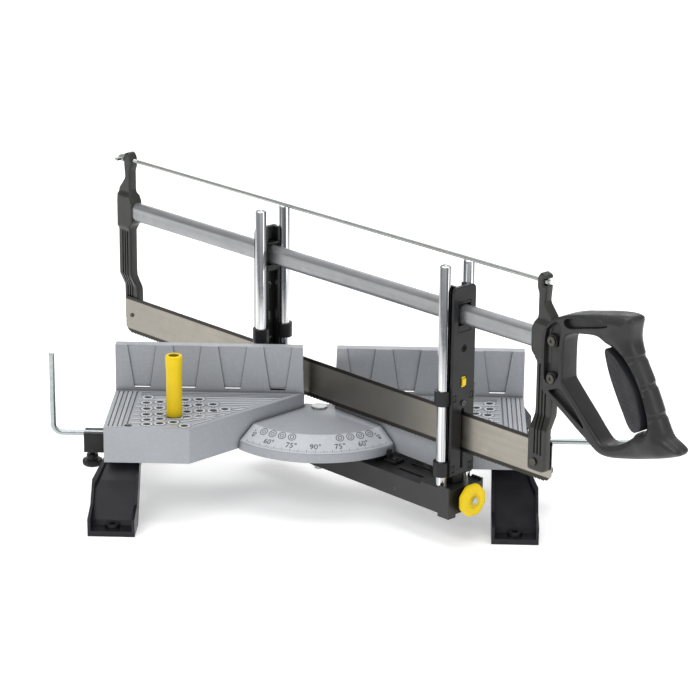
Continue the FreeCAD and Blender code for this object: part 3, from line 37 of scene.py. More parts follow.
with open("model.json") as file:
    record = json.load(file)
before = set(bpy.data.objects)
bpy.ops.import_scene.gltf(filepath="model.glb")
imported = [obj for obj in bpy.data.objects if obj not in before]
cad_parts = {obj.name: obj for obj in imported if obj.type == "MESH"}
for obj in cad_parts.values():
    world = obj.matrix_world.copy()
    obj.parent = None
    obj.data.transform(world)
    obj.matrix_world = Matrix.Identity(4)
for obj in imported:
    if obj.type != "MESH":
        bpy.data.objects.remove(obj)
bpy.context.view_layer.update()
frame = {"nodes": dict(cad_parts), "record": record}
nodes = frame["nodes"]
MM = 0.001
UP = Vector((0, 0, 1))
SQUARE = ((-1, -1), (1, -1), (1, 1), (-1, 1))


def new_object(name, data):
    """Add an object to the scene."""
    added = bpy.data.objects.new(name, data)
    bpy.context.scene.collection.objects.link(added)
    return added


def placed(place, first, second, third):
    """Matrix of a space with its origin at a place and three given axes."""
    axes = Matrix((first, second, third)).transposed().to_4x4()
    return Matrix.Translation(place) @ axes


def around(sides):
    """Evenly spaced angles round a circle."""
    return [2 * math.pi * step / sides for step in range(sides)]


# ---- camera, light and floor ----

CAMERA_PLACE = (0.0895, -2.3451, 0.8964)
CAMERA_TURN = (18.07, -1.522, 0.564)
FLOOR_HALF = 25.0


def make_camera():
    """Long-lens view from the front and a little above, turned slightly to the left."""
    pitch, yaw, roll = (math.radians(angle) for angle in CAMERA_TURN)
    forward = Vector((
        math.sin(yaw) * math.cos(pitch), math.cos(yaw) * math.cos(pitch), -math.sin(pitch)
    ))
    level = Vector((math.cos(yaw), -math.sin(yaw), 0))
    above = level.cross(forward)
    across = math.cos(roll) * level + math.sin(roll) * above
    upward = -math.sin(roll) * level + math.cos(roll) * above
    lens = bpy.data.cameras.new("camera")
    lens.sensor_width = 36
    lens.lens = 141.47
    camera = new_object("camera", lens)
    camera.matrix_world = placed(CAMERA_PLACE, across, upward, -forward)
    bpy.context.scene.camera = camera


def area_light(name, place, target, size, power):
    lamp = bpy.data.lights.new(name, "AREA")
    lamp.shape = "RECTANGLE"
    lamp.size, lamp.size_y = size
    lamp.energy = power
    light = new_object(name, lamp)
    light.location = place
    direction = Vector(target) - Vector(place)
    light.rotation_euler = direction.to_track_quat("-Z", "Y").to_euler()


def make_floor():
    """Wide sheet of pale paper that glows a little, so that its far end stays white."""
    corners = [(x * FLOOR_HALF, y * FLOOR_HALF, 0) for x, y in SQUARE]
    mesh = bpy.data.meshes.new("floor")
    mesh.from_pydata(corners, [], [(0, 1, 2, 3)])
    floor = new_object("floor", mesh)
    paper = bpy.data.materials.new("pale_floor")
    paper.use_nodes = True
    shader = paper.node_tree.nodes["Principled BSDF"]
    shader.inputs["Base Color"].default_value = (0.93, 0.93, 0.93, 1)
    shader.inputs["Roughness"].default_value = 0.9
    shader.inputs["Specular IOR Level"].default_value = 0.1
    shader.inputs["Emission Color"].default_value = (1, 1, 1, 1)
    shader.inputs["Emission Strength"].default_value = 0.34
    mesh.materials.append(paper)


def make_studio():
    """Four soft lights and a sky that is darker below the horizon."""
    area_light("key", (-1.1, -1.7, 2.0), (0, 0, 0.1), (1.5, 1.1), 22)
    area_light("fill", (1.9, -1.0, 0.9), (0, 0, 0.1), (0.9, 1.5), 8)
    area_light("top", (0.0, 0.2, 2.2), (0, 0, 0.1), (2.0, 1.4), 20)
    area_light("back", (0.3, 2.0, 1.2), (0, 0, 0.15), (2.0, 1.0), 8)
    world = bpy.data.worlds.new("studio")
    world.use_nodes = True
    tree = world.node_tree
    place = tree.nodes.new("ShaderNodeTexCoord")
    split = tree.nodes.new("ShaderNodeSeparateXYZ")
    tree.links.new(place.outputs["Generated"], split.inputs["Vector"])
    sky = tree.nodes.new("ShaderNodeValToRGB")
    sky.color_ramp.elements[0].position = 0.08
    sky.color_ramp.elements[0].color = (0.42, 0.43, 0.45, 1)
    sky.color_ramp.elements[1].position = 0.42
    sky.color_ramp.elements[1].color = (1, 1, 1, 1)
    tree.links.new(split.outputs["Z"], sky.inputs["Fac"])
    tree.links.new(sky.outputs["Color"], tree.nodes["Background"].inputs["Color"])
    tree.nodes["Background"].inputs["Strength"].default_value = 0.62
    bpy.context.scene.view_settings.view_transform = "Standard"
    bpy.context.scene.world = world


# ---- materials ----

ARM_TURN = (0, 0, math.radians(45))


class Paint:
    """A procedural material: noise-varied colour and roughness, fine bump, painted shade in holes
    and grooves.
    """

    def __init__(self, name, colour, roughness, metallic=0.0):
        self.material = bpy.data.materials.new(name)
        self.material.use_nodes = True
        self.tree = self.material.node_tree
        self.shader = self.tree.nodes["Principled BSDF"]
        self.shader.inputs["Metallic"].default_value = metallic
        self.place = self.tree.nodes.new("ShaderNodeTexCoord")
        base = self.tree.nodes.new("ShaderNodeRGB")
        base.outputs[0].default_value = (*colour, 1)
        self.colour = base.outputs[0]
        self.roughness = roughness
        self.height = None

    def add(self, kind, values, links=()):
        """Add a shader node with its input values and its incoming links."""
        node = self.tree.nodes.new("ShaderNode" + kind)
        for name, value in values.items():
            node.inputs[name].default_value = value
        for name, socket in dict(links).items():
            self.tree.links.new(socket, node.inputs[name])
        return node

    def noise(self, scale, detail=4.0, stretch=(1, 1, 1), rotation=(0, 0, 0)):
        """Noise in object space, in cycles per metre, stretched along an axis for grain."""
        place = self.place.outputs["Object"]
        turn = self.add("Mapping", {"Rotation": rotation}, {"Vector": place})
        mapping = self.add("Mapping", {"Scale": stretch}, {"Vector": turn.outputs["Vector"]})
        node = self.add(
            "TexNoise", {"Scale": scale, "Detail": detail},
            {"Vector": mapping.outputs["Vector"]}
        )
        return node.outputs["Fac"]

    def ramp(self, source, low, high, first=0.0, second=1.0):
        """Map a value between two thresholds onto a range."""
        values = {"From Min": low, "From Max": high, "To Min": first, "To Max": second}
        return self.add("MapRange", values, {"Value": source}).outputs["Result"]

    def tint(self, factor, colour):
        """Blend another colour over the present one by a factor."""
        node = self.tree.nodes.new("ShaderNodeMix")
        node.data_type = "RGBA"
        self.tree.links.new(factor, node.inputs["Factor"])
        self.tree.links.new(self.colour, node.inputs["A"])
        node.inputs["B"].default_value = (*colour, 1)
        self.colour = node.outputs["Result"]

    def relief(self, source, distance, strength=1.0):
        """Add a bump layer; distance is in metres."""
        node = self.add("Bump", {"Distance": distance, "Strength": strength},
                        {"Height": source})
        if self.height is not None:
            self.tree.links.new(self.height, node.inputs["Normal"])
        self.height = node.outputs["Normal"]

    def soft_edges(self, radius):
        """Shade the edges as if they were rounded."""
        node = self.add("Bevel", {"Radius": radius})
        node.samples = 4
        self.height = node.outputs["Normal"]

    def band(self, low, high, blur=0.0004, axis="Z"):
        """One between two levels in object space, fading over a short distance."""
        split = self.add("SeparateXYZ", {}, {"Vector": self.place.outputs["Object"]})
        rise = self.ramp(split.outputs[axis], low - blur, low + blur)
        fall = self.ramp(split.outputs[axis], high + blur, high - blur)
        product = self.tree.nodes.new("ShaderNodeMath")
        product.operation = "MULTIPLY"
        self.tree.links.new(rise, product.inputs[0])
        self.tree.links.new(fall, product.inputs[1])
        return product.outputs["Value"]

    def painted_crevice_shade(self, distance, depth):
        """Painted shade: darken the places that little light reaches, such as holes and grooves,
        found by ambient occlusion.
        """
        node = self.add("AmbientOcclusion", {"Distance": distance})
        node.samples = 6
        self.tint(self.ramp(node.outputs["AO"], 0.25, 0.85, depth, 0.0), (0.004, 0.004, 0.004))

    def done(self, variation=0.08, scale=60):
        """Connect colour, a varying roughness and the bump to the shader."""
        spread = self.ramp(
            self.noise(scale), 0.3, 0.7, self.roughness - variation, self.roughness + variation
        )
        self.tree.links.new(spread, self.shader.inputs["Roughness"])
        self.tree.links.new(self.colour, self.shader.inputs["Base Color"])
        if self.height is not None:
            self.tree.links.new(self.height, self.shader.inputs["Normal"])
        return self.material


def cast_paint(name, colour, roughness=0.42, depth=0.75):
    """Satin paint over a casting, with a faint orange peel and painted shade in its holes and
    grooves.
    """
    paint = Paint(name, colour, roughness)
    paint.soft_edges(0.0006)
    light = tuple(min(1.0, part * 1.22) for part in colour)
    dark = tuple(part * 0.85 for part in colour)
    paint.tint(paint.ramp(paint.noise(18), 0.35, 0.75, 0.0, 0.6), dark)
    paint.tint(paint.ramp(paint.noise(420, 2), 0.5, 0.8, 0.0, 0.5), light)
    # painted shade: ambient occlusion darkens holes, grooves and corners
    paint.painted_crevice_shade(0.007, depth)
    paint.relief(paint.noise(900, 3), 0.00004, 0.8)
    return paint.done(0.07)


def moulded(name, colour, roughness):
    """Moulded plastic with a fine spark-eroded texture, slight scuffs and painted shade in its
    holes and grooves.
    """
    paint = Paint(name, colour, roughness)
    paint.soft_edges(0.0006)
    light = tuple(min(1.0, part * 1.5 + 0.01) for part in colour)
    paint.tint(paint.ramp(paint.noise(35), 0.4, 0.8, 0.0, 0.35), light)
    # painted shade: ambient occlusion darkens holes, grooves and corners
    paint.painted_crevice_shade(0.010, 0.8)
    paint.shader.inputs["Specular IOR Level"].default_value = 0.3
    paint.relief(paint.noise(1500, 2), 0.00003, 0.7)
    return paint.done(0.09, 90)


def bright_metal(name, colour, roughness, stretch=(1, 1, 1), turn=(0, 0, 0)):
    """Plated or ground metal with directional scratches."""
    paint = Paint(name, colour, roughness, 1.0)
    paint.soft_edges(0.0003)
    dark = tuple(part * 0.7 for part in colour)
    grain = paint.noise(300, 4, stretch, turn)
    paint.tint(paint.ramp(grain, 0.35, 0.7, 0.0, 0.45), dark)
    paint.tint(paint.ramp(paint.noise(22), 0.55, 0.8, 0.0, 0.35), dark)
    paint.relief(grain, 0.00002, 0.6)
    return paint.done(min(0.06, roughness * 0.5), 140)


def steel_blade(name):
    """Ground blade, painted darker between the guides and at its left end as a reflection, with
    dark strips at its back and its teeth.
    """
    low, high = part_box("saw_blade")
    paint = Paint(name, (0.37, 0.345, 0.30), 0.36, 1.0)
    grain = paint.noise(260, 4, (0.04, 1, 1), ARM_TURN)
    paint.tint(paint.ramp(grain, 0.35, 0.7, 0.0, 0.4), (0.28, 0.26, 0.23))
    paint.tint(paint.ramp(paint.noise(14, 3), 0.4, 0.75, 0.0, 0.5), (0.25, 0.235, 0.21))
    # painted reflection: a darker stretch between the guides, fixed to the blade
    paint.tint(paint.band(-0.005, 0.105, 0.035, "X"), (0.21, 0.20, 0.18))
    # painted reflection: darker towards the left end of the blade
    paint.tint(paint.band(low.x, low.x + 0.03, 0.03, "X"), (0.30, 0.28, 0.25))
    paint.tint(paint.band(high.z - 0.0032, high.z + 0.002), (0.045, 0.042, 0.038))
    paint.tint(paint.band(low.z - 0.002, low.z + 0.0042), (0.050, 0.046, 0.040))
    paint.relief(grain, 0.00001, 0.5)
    return paint.done(0.06, 140)


def drawn_rod(name):
    """Chromed bar with faint lengthwise grinding marks in its bump, and dark lengthwise bands
    painted in as reflections.
    """
    paint = Paint(name, (0.86, 0.87, 0.88), 0.1, 1.0)
    # painted reflection: dark lengthwise bands in the colour of the chrome
    painted_reflection_bands = paint.noise(230, 2, (1, 1, 0.004))
    paint.tint(paint.ramp(painted_reflection_bands, 0.46, 0.62, 0.0, 0.85), (0.16, 0.16, 0.17))
    paint.tint(paint.ramp(paint.noise(30), 0.55, 0.8, 0.0, 0.3), (0.55, 0.56, 0.57))
    paint.relief(paint.noise(900, 2, (1, 1, 0.02)), 0.000004, 0.4)
    return paint.done(0.04, 140)


def ribbed_rubber(name):
    """Matt black rubber with a fine grain."""
    paint = Paint(name, (0.016, 0.016, 0.019), 0.6)
    paint.tint(paint.ramp(paint.noise(60), 0.4, 0.8, 0.0, 0.4), (0.035, 0.035, 0.04))
    paint.relief(paint.noise(1300, 2), 0.00003, 0.7)
    return paint.done(0.07, 90)


LOOKS = {
    "grey_casting": cast_paint("grey_casting", (0.36, 0.375, 0.40), depth=0.95),
    # painted highlight: the raised relief is coloured lighter than the casting round it
    "relief_grey_painted_highlight": cast_paint("relief_grey_painted_highlight", (0.60, 0.62, 0.65), depth=0.2),
    "grey_shade": cast_paint("grey_shade", (0.06, 0.063, 0.07), depth=0.2),
    "bright_scale": cast_paint("bright_scale", (0.50, 0.52, 0.55), depth=0.5),
    "scale_ink": moulded("scale_ink", (0.055, 0.058, 0.07), 0.55),
    "leg_plastic": moulded("leg_plastic", (0.008, 0.008, 0.012), 0.36),
    "zinc": bright_metal("zinc", (0.46, 0.49, 0.47), 0.3),
    "black_screw": bright_metal("black_screw", (0.10, 0.095, 0.085), 0.38),
    "black_casting": cast_paint("black_casting", (0.015, 0.014, 0.014), 0.34),
    "black_plastic": moulded("black_plastic", (0.011, 0.011, 0.012), 0.36),
    "chrome": drawn_rod("chrome"),
    "yellow_plastic": moulded("yellow_plastic", (0.76, 0.53, 0.0), 0.36),
    "blade_steel": steel_blade("blade_steel"),
    "spine_aluminium": bright_metal(
        "spine_aluminium", (0.38, 0.39, 0.40), 0.42, (0.04, 1, 1), ARM_TURN
    ),
    "stop_rod": bright_metal("stop_rod", (0.42, 0.46, 0.46), 0.24, (0.02, 1, 1)),
    "dark_casting": cast_paint("dark_casting", (0.017, 0.017, 0.015), 0.34),
    "handle_plastic": moulded("handle_plastic", (0.026, 0.026, 0.026), 0.34),
    "grip_rubber": ribbed_rubber("grip_rubber"),
}
BLACK_SCREWS = (
    "handle_screws", "blade_pins", "rocker_pin", "pointer_screw", "front_guide_screw",
    "rear_guide_screw", "rod_set_screws", "quadrant_screws",
)


# ---- frames of reference ----

joints = {joint["name"]: joint for joint in frame["record"]["behaviour"]["joints"]}
slots = {part["node"]: part["material_slot"] for part in frame["record"]["subparts"]}
body_of = {
    node: body for body, members in frame["record"]["behaviour"]["bodies"].items()
    for node in members
}
ALONG = Vector(joints["saw_stroke"]["axis"]).normalized()
ACROSS = UP.cross(ALONG)
# Drawing space of the swung parts: x along the arm, y across it and z up, in millimetres.
ARM = placed((0, 0, 0), ALONG * MM, ACROSS * MM, UP * MM)
# Drawing space of the standing parts: the model's own axes, in millimetres.
STAND = Matrix.Scale(MM, 4)


def extent(node, space):
    """Lowest and highest corner of a CAD node in a drawing space."""
    inverse = space.inverted()
    corners = [inverse @ vertex.co for vertex in nodes[node].data.vertices]
    return [
        Vector([pick(corner[axis] for corner in corners) for axis in range(3)])
        for pick in (min, max)
    ]


# ---- mesh tools ----

def smooth_mesh(bm, name, sharp):
    """Mesh that is shaded smooth up to an angle."""
    mesh = bpy.data.meshes.new(name)
    bm.to_mesh(mesh)
    bm.free()
    mesh.shade_smooth()
    mesh.set_sharp_from_angle(angle=math.radians(sharp))
    return mesh


def finish_mesh(bm, name, space, sharp):
    """Clean a drawing and move it into the frame."""
    bmesh.ops.remove_doubles(bm, verts=bm.verts, dist=1e-4)
    bmesh.ops.recalc_face_normals(bm, faces=bm.faces)
    bmesh.ops.transform(bm, matrix=space, verts=bm.verts)
    return smooth_mesh(bm, name, sharp)


def add_piece(name, mesh, look, node, replaced=()):
    """Show a mesh as a piece that moves with the body of a CAD node."""
    piece = new_object(name, mesh)
    mesh.materials.append(LOOKS[look])
    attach(piece, body_of[node])
    if replaced:
        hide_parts(*replaced)
    return piece


def draw_piece(name, bm, space, look, node, replaced=(), sharp=35):
    """Finish a drawing and show it as a piece."""
    return add_piece(name, finish_mesh(bm, name, space, sharp), look, node, replaced)


def bridge(bm, first, second):
    """Quads between two closed rings of the same length."""
    for step in range(len(first)):
        following = (step + 1) % len(first)
        bm.faces.new([first[step], first[following], second[following], second[step]])


def softened(node, width):
    """Stand in for a CAD node with the same shape and rounded outer edges."""
    source = nodes[node].data
    bm = bmesh.new()
    corners = [bm.verts.new(vertex.co) for vertex in source.vertices]
    for face in source.polygons:
        try:
            bm.faces.new([corners[index] for index in face.vertices])
        except ValueError:
            continue
    bmesh.ops.remove_doubles(bm, verts=bm.verts, dist=2e-6)
    bmesh.ops.dissolve_degenerate(bm, edges=bm.edges, dist=1e-6)
    bmesh.ops.dissolve_limit(
        bm, angle_limit=math.radians(1.5), verts=bm.verts, edges=bm.edges
    )
    bmesh.ops.recalc_face_normals(bm, faces=bm.faces)
    weights = bm.edges.layers.float.new("bevel_weight_edge")
    for edge in bm.edges:
        outer = len(edge.link_faces) == 2 and edge.is_convex
        if outer and edge.calc_face_angle(0) > math.radians(28):
            edge[weights] = 1.0 if edge.calc_length() > 1.2 * MM else 0.0
    name = node + "_shell"
    piece = add_piece(name, smooth_mesh(bm, name, 35), slots[node], node, (node,))
    bevel = piece.modifiers.new("edges", "BEVEL")
    bevel.limit_method = "WEIGHT"
    bevel.width = width * MM
    bevel.segments = 2
    bevel.use_clamp_overlap = False
    bevel.miter_outer = "MITER_ARC"
    piece.modifiers.new("normals", "WEIGHTED_NORMAL").keep_sharp = True


def turned(bm, profile, centre, axis, sides=48, shape=None):
    """Turn a profile of (radius, distance along the axis) round an axis through a point."""
    axis = Vector(axis).normalized()
    side = axis.orthogonal().normalized()
    other = axis.cross(side)
    rings = []
    for radius, height in profile:
        middle = Vector(centre) + axis * height
        if radius < 1e-6:
            rings.append([bm.verts.new(middle)])
            continue
        ring = []
        for turn in around(sides):
            reach = radius * (shape(turn, radius) if shape else 1.0)
            ring.append(bm.verts.new(
                middle + side * (reach * math.cos(turn)) + other * (reach * math.sin(turn))
            ))
        rings.append(ring)
    for first, second in zip(rings, rings[1:]):
        for step in range(sides):
            following = (step + 1) % sides
            corners = [
                first[step % len(first)], first[following % len(first)],
                second[following % len(second)], second[step % len(second)],
            ]
            unique = list(dict.fromkeys(corners))
            if len(unique) > 2:
                bm.faces.new(unique)


def rib(bm, start, end, width, low, high):
    """Raised bar with sloping sides between two points of a deck."""
    taper = 0.3
    start, end = Vector((*start, 0)), Vector((*end, 0))
    run = (end - start).normalized()
    side = Vector((-run.y, run.x, 0)) * (width / 2)
    inner = side * (1 - 2 * taper / width)
    base, top = [], []
    for point, sign in ((start, -1), (end, 1)):
        for hand in (-1, 1):
            base.append(bm.verts.new(point + side * hand * sign + UP * low))
            top.append(bm.verts.new(
                point + inner * hand * sign - run * (sign * taper) + UP * high
            ))
    bm.faces.new(top)
    bm.faces.new(base[::-1])
    bridge(bm, base, top)


# ---- outlines and swollen shapes ----

def rounded(points, passes=2):
    """Cut the corners of a closed outline again and again until it is a smooth curve."""
    outline = [Vector(point) for point in points]
    for _ in range(passes):
        following = outline[1:] + outline[:1]
        outline = [
            first.lerp(second, share) for first, second in zip(outline, following)
            for share in (0.25, 0.75)
        ]
    return outline


def resampled(points, step):
    """Points a steady distance apart along a closed outline."""
    line = [Vector(point) for point in points]
    line.append(line[0])
    lengths = [0.0]
    for first, second in zip(line, line[1:]):
        lengths.append(lengths[-1] + (second - first).length)
    count = max(3, round(lengths[-1] / step))
    samples = []
    place = 0
    for number in range(count):
        target = min(lengths[-1] * number / count, lengths[-1])
        while place < len(line) - 2 and lengths[place + 1] < target:
            place += 1
        share = (target - lengths[place]) / max(1e-9, lengths[place + 1] - lengths[place])
        samples.append(line[place].lerp(line[place + 1], share))
    return samples


def distance_to(points, loops):
    """Distance from each point to the nearest of several closed outlines."""
    nearest = np.full(len(points), 1e9)
    for loop in loops:
        starts = np.array(loop)
        runs = np.roll(starts, -1, axis=0) - starts
        length = (runs ** 2).sum(1)
        for start, run, square in zip(starts, runs, length):
            share = np.clip((points - start) @ run / max(square, 1e-12), 0, 1)
            gap = points - start - share[:, None] * run
            nearest = np.minimum(nearest, np.sqrt((gap ** 2).sum(1)))
    return nearest


def inside(points, loop):
    """Whether each point lies within a closed outline."""
    corners = np.array(loop)
    odd = np.zeros(len(points), bool)
    for first, second in zip(corners, np.roll(corners, -1, axis=0)):
        if first[1] == second[1]:
            continue
        crosses = (points[:, 1] < first[1]) != (points[:, 1] < second[1])
        reach = first[0] + (points[:, 1] - first[1]) * (second[0] - first[0]) / (
            second[1] - first[1]
        )
        odd ^= crosses & (points[:, 0] < reach)
    return odd


def inward(outline):
    """Unit normals of a closed outline that point into it."""
    line = np.array(outline)
    run = np.roll(line, -1, axis=0) - np.roll(line, 1, axis=0)
    normal = np.stack([-run[:, 1], run[:, 0]], 1)
    normal /= np.maximum(1e-9, np.sqrt((normal ** 2).sum(1)))[:, None]
    return normal if inside(line + normal * 0.05, line).mean() > 0.5 else -normal


def squeezed(outline, inset):
    """Outline moved inwards by a distance."""
    moved = np.array(outline) + inward(outline) * inset
    return [Vector(point) for point in moved[distance_to(moved, [outline]) > inset * 0.9]]


# How far inside an outline the rings of points of a swollen shape lie.
RING_DEPTHS = (0.12, 0.5, 1.1, 2.0, 3.2, 4.8)


def swollen(name, outer, holes, creases, height, spacing=2.2, step=1.5, middle=None):
    """Two-sided solid over a flat outline, drawn along the arm.

    height gives half its thickness at each point, and middle how far it is set off to a side.
    Rings of points follow the outlines, and every crease becomes a line of edges.
    """
    loops = [resampled(outer, step)] + [resampled(hole, step) for hole in holes]
    fixed = loops + [resampled(crease, 1.4) for crease in creases]
    corners = np.array(loops[0])
    low, high = corners.min(0), corners.max(0)
    grid = np.array([
        (low[0] + spacing * (column + 0.5 * (row % 2)), low[1] + spacing * 0.87 * row)
        for row in range(int((high[1] - low[1]) / spacing / 0.87) + 1)
        for column in range(int((high[0] - low[0]) / spacing) + 1)
    ])
    rings = []
    for loop in loops:
        sign = 1 if loop is loops[0] else -1
        for depth in RING_DEPTHS:
            ring = np.array(loop) + inward(loop) * depth * sign
            rings.append(ring[distance_to(ring, loops) > depth * 0.96])
    spread = grid[distance_to(grid, loops) > RING_DEPTHS[-1] * 1.25]
    free = np.concatenate(rings + [spread])
    free = free[inside(free, loops[0])]
    for loop in loops[1:]:
        free = free[~inside(free, loop)]
    if creases:
        free = free[distance_to(free, fixed[len(loops):]) > 0.45]
    points, edges = [], []
    for loop in fixed:
        first = len(points)
        points += [Vector(point) for point in loop]
        edges += [(first + place, first + (place + 1) % len(loop)) for place in range(len(loop))]
    points += [Vector(point) for point in free]
    flat, _, triangles, *_ = delaunay_2d_cdt(points, edges, [], 0, 1e-5)
    flat = np.array([(point.x, point.y) for point in flat])
    triangles = np.array(triangles)
    middles = flat[triangles].mean(1)
    kept = inside(middles, loops[0])
    for loop in loops[1:]:
        kept &= ~inside(middles, loop)
    triangles = triangles[kept]
    tall = height(flat)
    lean = middle(flat) if middle else np.zeros(len(flat))
    bm = bmesh.new()
    sheets = [
        [bm.verts.new((point[0], shift + side * rise, point[1]))
         for point, rise, shift in zip(flat, tall, lean)]
        for side in (-1, 1)
    ]
    borders = {}
    for first, second, third in triangles.tolist():
        bm.faces.new([sheets[0][first], sheets[0][second], sheets[0][third]])
        bm.faces.new([sheets[1][third], sheets[1][second], sheets[1][first]])
        for edge in ((first, second), (second, third), (third, first)):
            key = tuple(sorted(edge))
            borders[key] = None if key in borders else edge
    for edge in borders.values():
        if edge:
            near, far = edge
            bm.faces.new([sheets[0][far], sheets[0][near], sheets[1][near], sheets[1][far]])
    loose = [vertex for vertex in bm.verts if not vertex.link_faces]
    bmesh.ops.delete(bm, geom=loose, context="VERTS")
    return finish_mesh(bm, name, ARM, 38)


def spread_values(points, places):
    """Blend (thickness, edge radius) given at scattered places over all the points."""
    table = np.array(places, float)
    gap = ((points[:, None, :] - table[None, :, :2]) ** 2).sum(2) + 4.0
    weight = gap ** -1.6
    weight /= weight.sum(1)[:, None]
    return weight @ table[:, 2], weight @ table[:, 3]


def quarter(depth, radius):
    """Rise of a quarter circle at a depth in from its foot."""
    return np.sqrt(np.maximum(0, radius ** 2 - (radius - depth) ** 2))


def dome(points, loops, places):
    """Half thickness of a solid with rounded edges, from the distance to its outline."""
    thickness, radius = spread_values(points, places)
    radius = np.minimum(radius, thickness - 0.6)
    depth = np.minimum(distance_to(points, loops), radius)
    return thickness - radius + quarter(depth, radius)


# ---- castings and mouldings ----

# Nodes with rounded outer edges, and how wide the rounding is.
EDGES = {
    "front_guide": 0.6, "rear_guide": 0.6, "front_guide_bushings": 0.5,
    "rear_guide_bushings": 0.5, "front_stop_block": 0.5, "rear_stop_block": 0.5,
    "scale_pointer": 0.4, "rear_tie_bar": 0.4, "frame_spine": 0.4, "carry_latch": 0.4,
    "lock_shoe": 0.4, "release_rocker": 0.4, "tension_wing_nut": 0.5,
    "front_spine_pads": 0.4, "rear_spine_pads": 0.4,
}
for member, edge_width in EDGES.items():
    softened(member, edge_width)


# ---- relief on the decks ----

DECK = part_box("clamp_cam")[0].z / MM - 0.4
RELIEF = 0.39
HOLE_EDGE, RIM_EDGE = 3.6, 5.6
ROW_PITCH, ROW_BAND = 10.6, 5.3
PEBBLE_PITCH, PEBBLE_HALF = 1.7, 0.7


def deck_holes(node):
    """Middles of the round holes that open on the deck of a bed, in millimetres."""
    bm = bmesh.new()
    bm.from_mesh(nodes[node].data)
    bmesh.ops.remove_doubles(bm, verts=bm.verts, dist=2e-6)
    near = {}
    for edge in bm.edges:
        level = all(abs(corner.co.z / MM - DECK) < 0.01 for corner in edge.verts)
        if level and any(abs(face.normal.z) < 0.1 for face in edge.link_faces):
            first, second = edge.verts
            near.setdefault(first, []).append(second)
            near.setdefault(second, []).append(first)
    middles = []
    while near:
        start, waiting = near.popitem()
        rim = [start]
        while waiting:
            corner = waiting.pop()
            if corner in near:
                rim.append(corner)
                waiting += near.pop(corner)
        middle = sum((corner.co for corner in rim), Vector()) / len(rim) / MM
        reach = [(corner.co / MM - middle).length for corner in rim]
        if 3 < min(reach) and max(reach) < 4.2:
            middles.append(middle)
    bm.free()
    return middles


def raise_deck(name, node, top, spread, look):
    """Rims round the holes, ribs beside and behind them and two pebbled strips."""
    low, high = extent(node, STAND)
    side = -1 if high.x < 0 else 1
    inner, outer = sorted((abs(low.x), abs(high.x)))
    holes = deck_holes(node)
    base = DECK - 0.2
    bm = bmesh.new()
    for hole in holes:
        turned(
            bm, [(HOLE_EDGE, base), (HOLE_EDGE + 0.1, top), (RIM_EDGE - 0.5 + spread, top),
                 (RIM_EDGE - 0.1 + spread, top - 0.1), (RIM_EDGE + spread, base),
                 (HOLE_EDGE, base)],
            (hole.x, hole.y, 0), UP, 8
        )
    front = low.y + 4
    for step in range(7):
        level = -24.5 - ROW_PITCH * step
        row = [abs(hole.x) for hole in holes if abs(hole.y - level) < ROW_BAND]
        if row:
            rib(bm, (side * (outer - 22.6), level), (side * (max(row) + RIM_EDGE), level),
                1.7 + 2 * spread, base, top)
    for number in range(12):
        start = -17.6 - 6.6 * number
        end = -16.2 - 5.2 * number
        row = [abs(hole.x) for hole in holes if abs(hole.y - start) < 6.2]
        edge = inner + (109 - inner) * -end / 100 + 7
        if row and min(row) - 6 > edge + 4 and end > front:
            rib(bm, (side * (min(row) - 6), start), (side * edge, end), 1.6 + 2 * spread, base,
                top)
    for number, hole in enumerate(holes):
        for other in holes[number + 1:]:
            gap = other - hole
            if 10.5 < gap.length < 17.5 and abs(gap.y) > abs(gap.x) * 1.2:
                way = gap.normalized() * 5.2
                rib(bm, (hole + way).xy, (other - way).xy, 1.2 + 2 * spread, base, top)
    for middle in (outer - 5.75, outer - 13.75):
        for number in range(int(-(low.y + 7) / PEBBLE_PITCH)):
            for column in (-0.5, 0.5):
                x = side * (middle + column * PEBBLE_PITCH + 0.3 * (number % 2))
                y = -4.5 - number * PEBBLE_PITCH
                tip = bm.verts.new((x, y, top))
                foot = [
                    bm.verts.new((x + PEBBLE_HALF * across, y + PEBBLE_HALF * along, base))
                    for across, along in SQUARE
                ]
                bm.faces.new(foot[::-1])
                for corner in range(4):
                    bm.faces.new([foot[corner], foot[(corner + 1) % 4], tip])
    draw_piece(name, bm, STAND, look, node)


# The upper piece is painted lighter than the deck, a painted highlight on the raised relief. The
# lower piece is wider and dark, and stands for the shadow in the fillets of the relief.
for bed in ("left", "right"):
    raise_deck(bed + "_deck_relief", bed + "_bed", DECK + RELIEF, 0, "relief_grey_painted_highlight")
    raise_deck(bed + "_deck_shade", bed + "_bed", DECK + 0.06, 1.0, "grey_shade")


# ---- marks on the angle scale ----

scale_low = extent("angle_scale", STAND)[0]
SCALE_OUTER = -scale_low.y
SLOPE_RUN, SLOPE_DROP = 18.0, 13.0
SLOPE_LENGTH = math.hypot(SLOPE_RUN, SLOPE_DROP)
INK_FOOT, INK_TOP = -0.06, 0.08


def on_scale(degrees, radius, turn=0.0):
    """Drawing space lying on the sloping scale; degrees run to the right of straight ahead."""
    angle = math.radians(degrees)
    outward = Vector((math.sin(angle), -math.cos(angle), 0))
    right = Vector((math.cos(angle), math.sin(angle), 0))
    climb = (-outward * SLOPE_RUN + UP * SLOPE_DROP) / SLOPE_LENGTH
    up = right.cross(climb)
    height = scale_low.z + (SCALE_OUTER - radius) * SLOPE_DROP / SLOPE_RUN + 0.5
    place = outward * radius + UP * height + up * 0.05
    return placed(place, right, climb, up) @ Matrix.Rotation(math.radians(turn), 4, "Z")


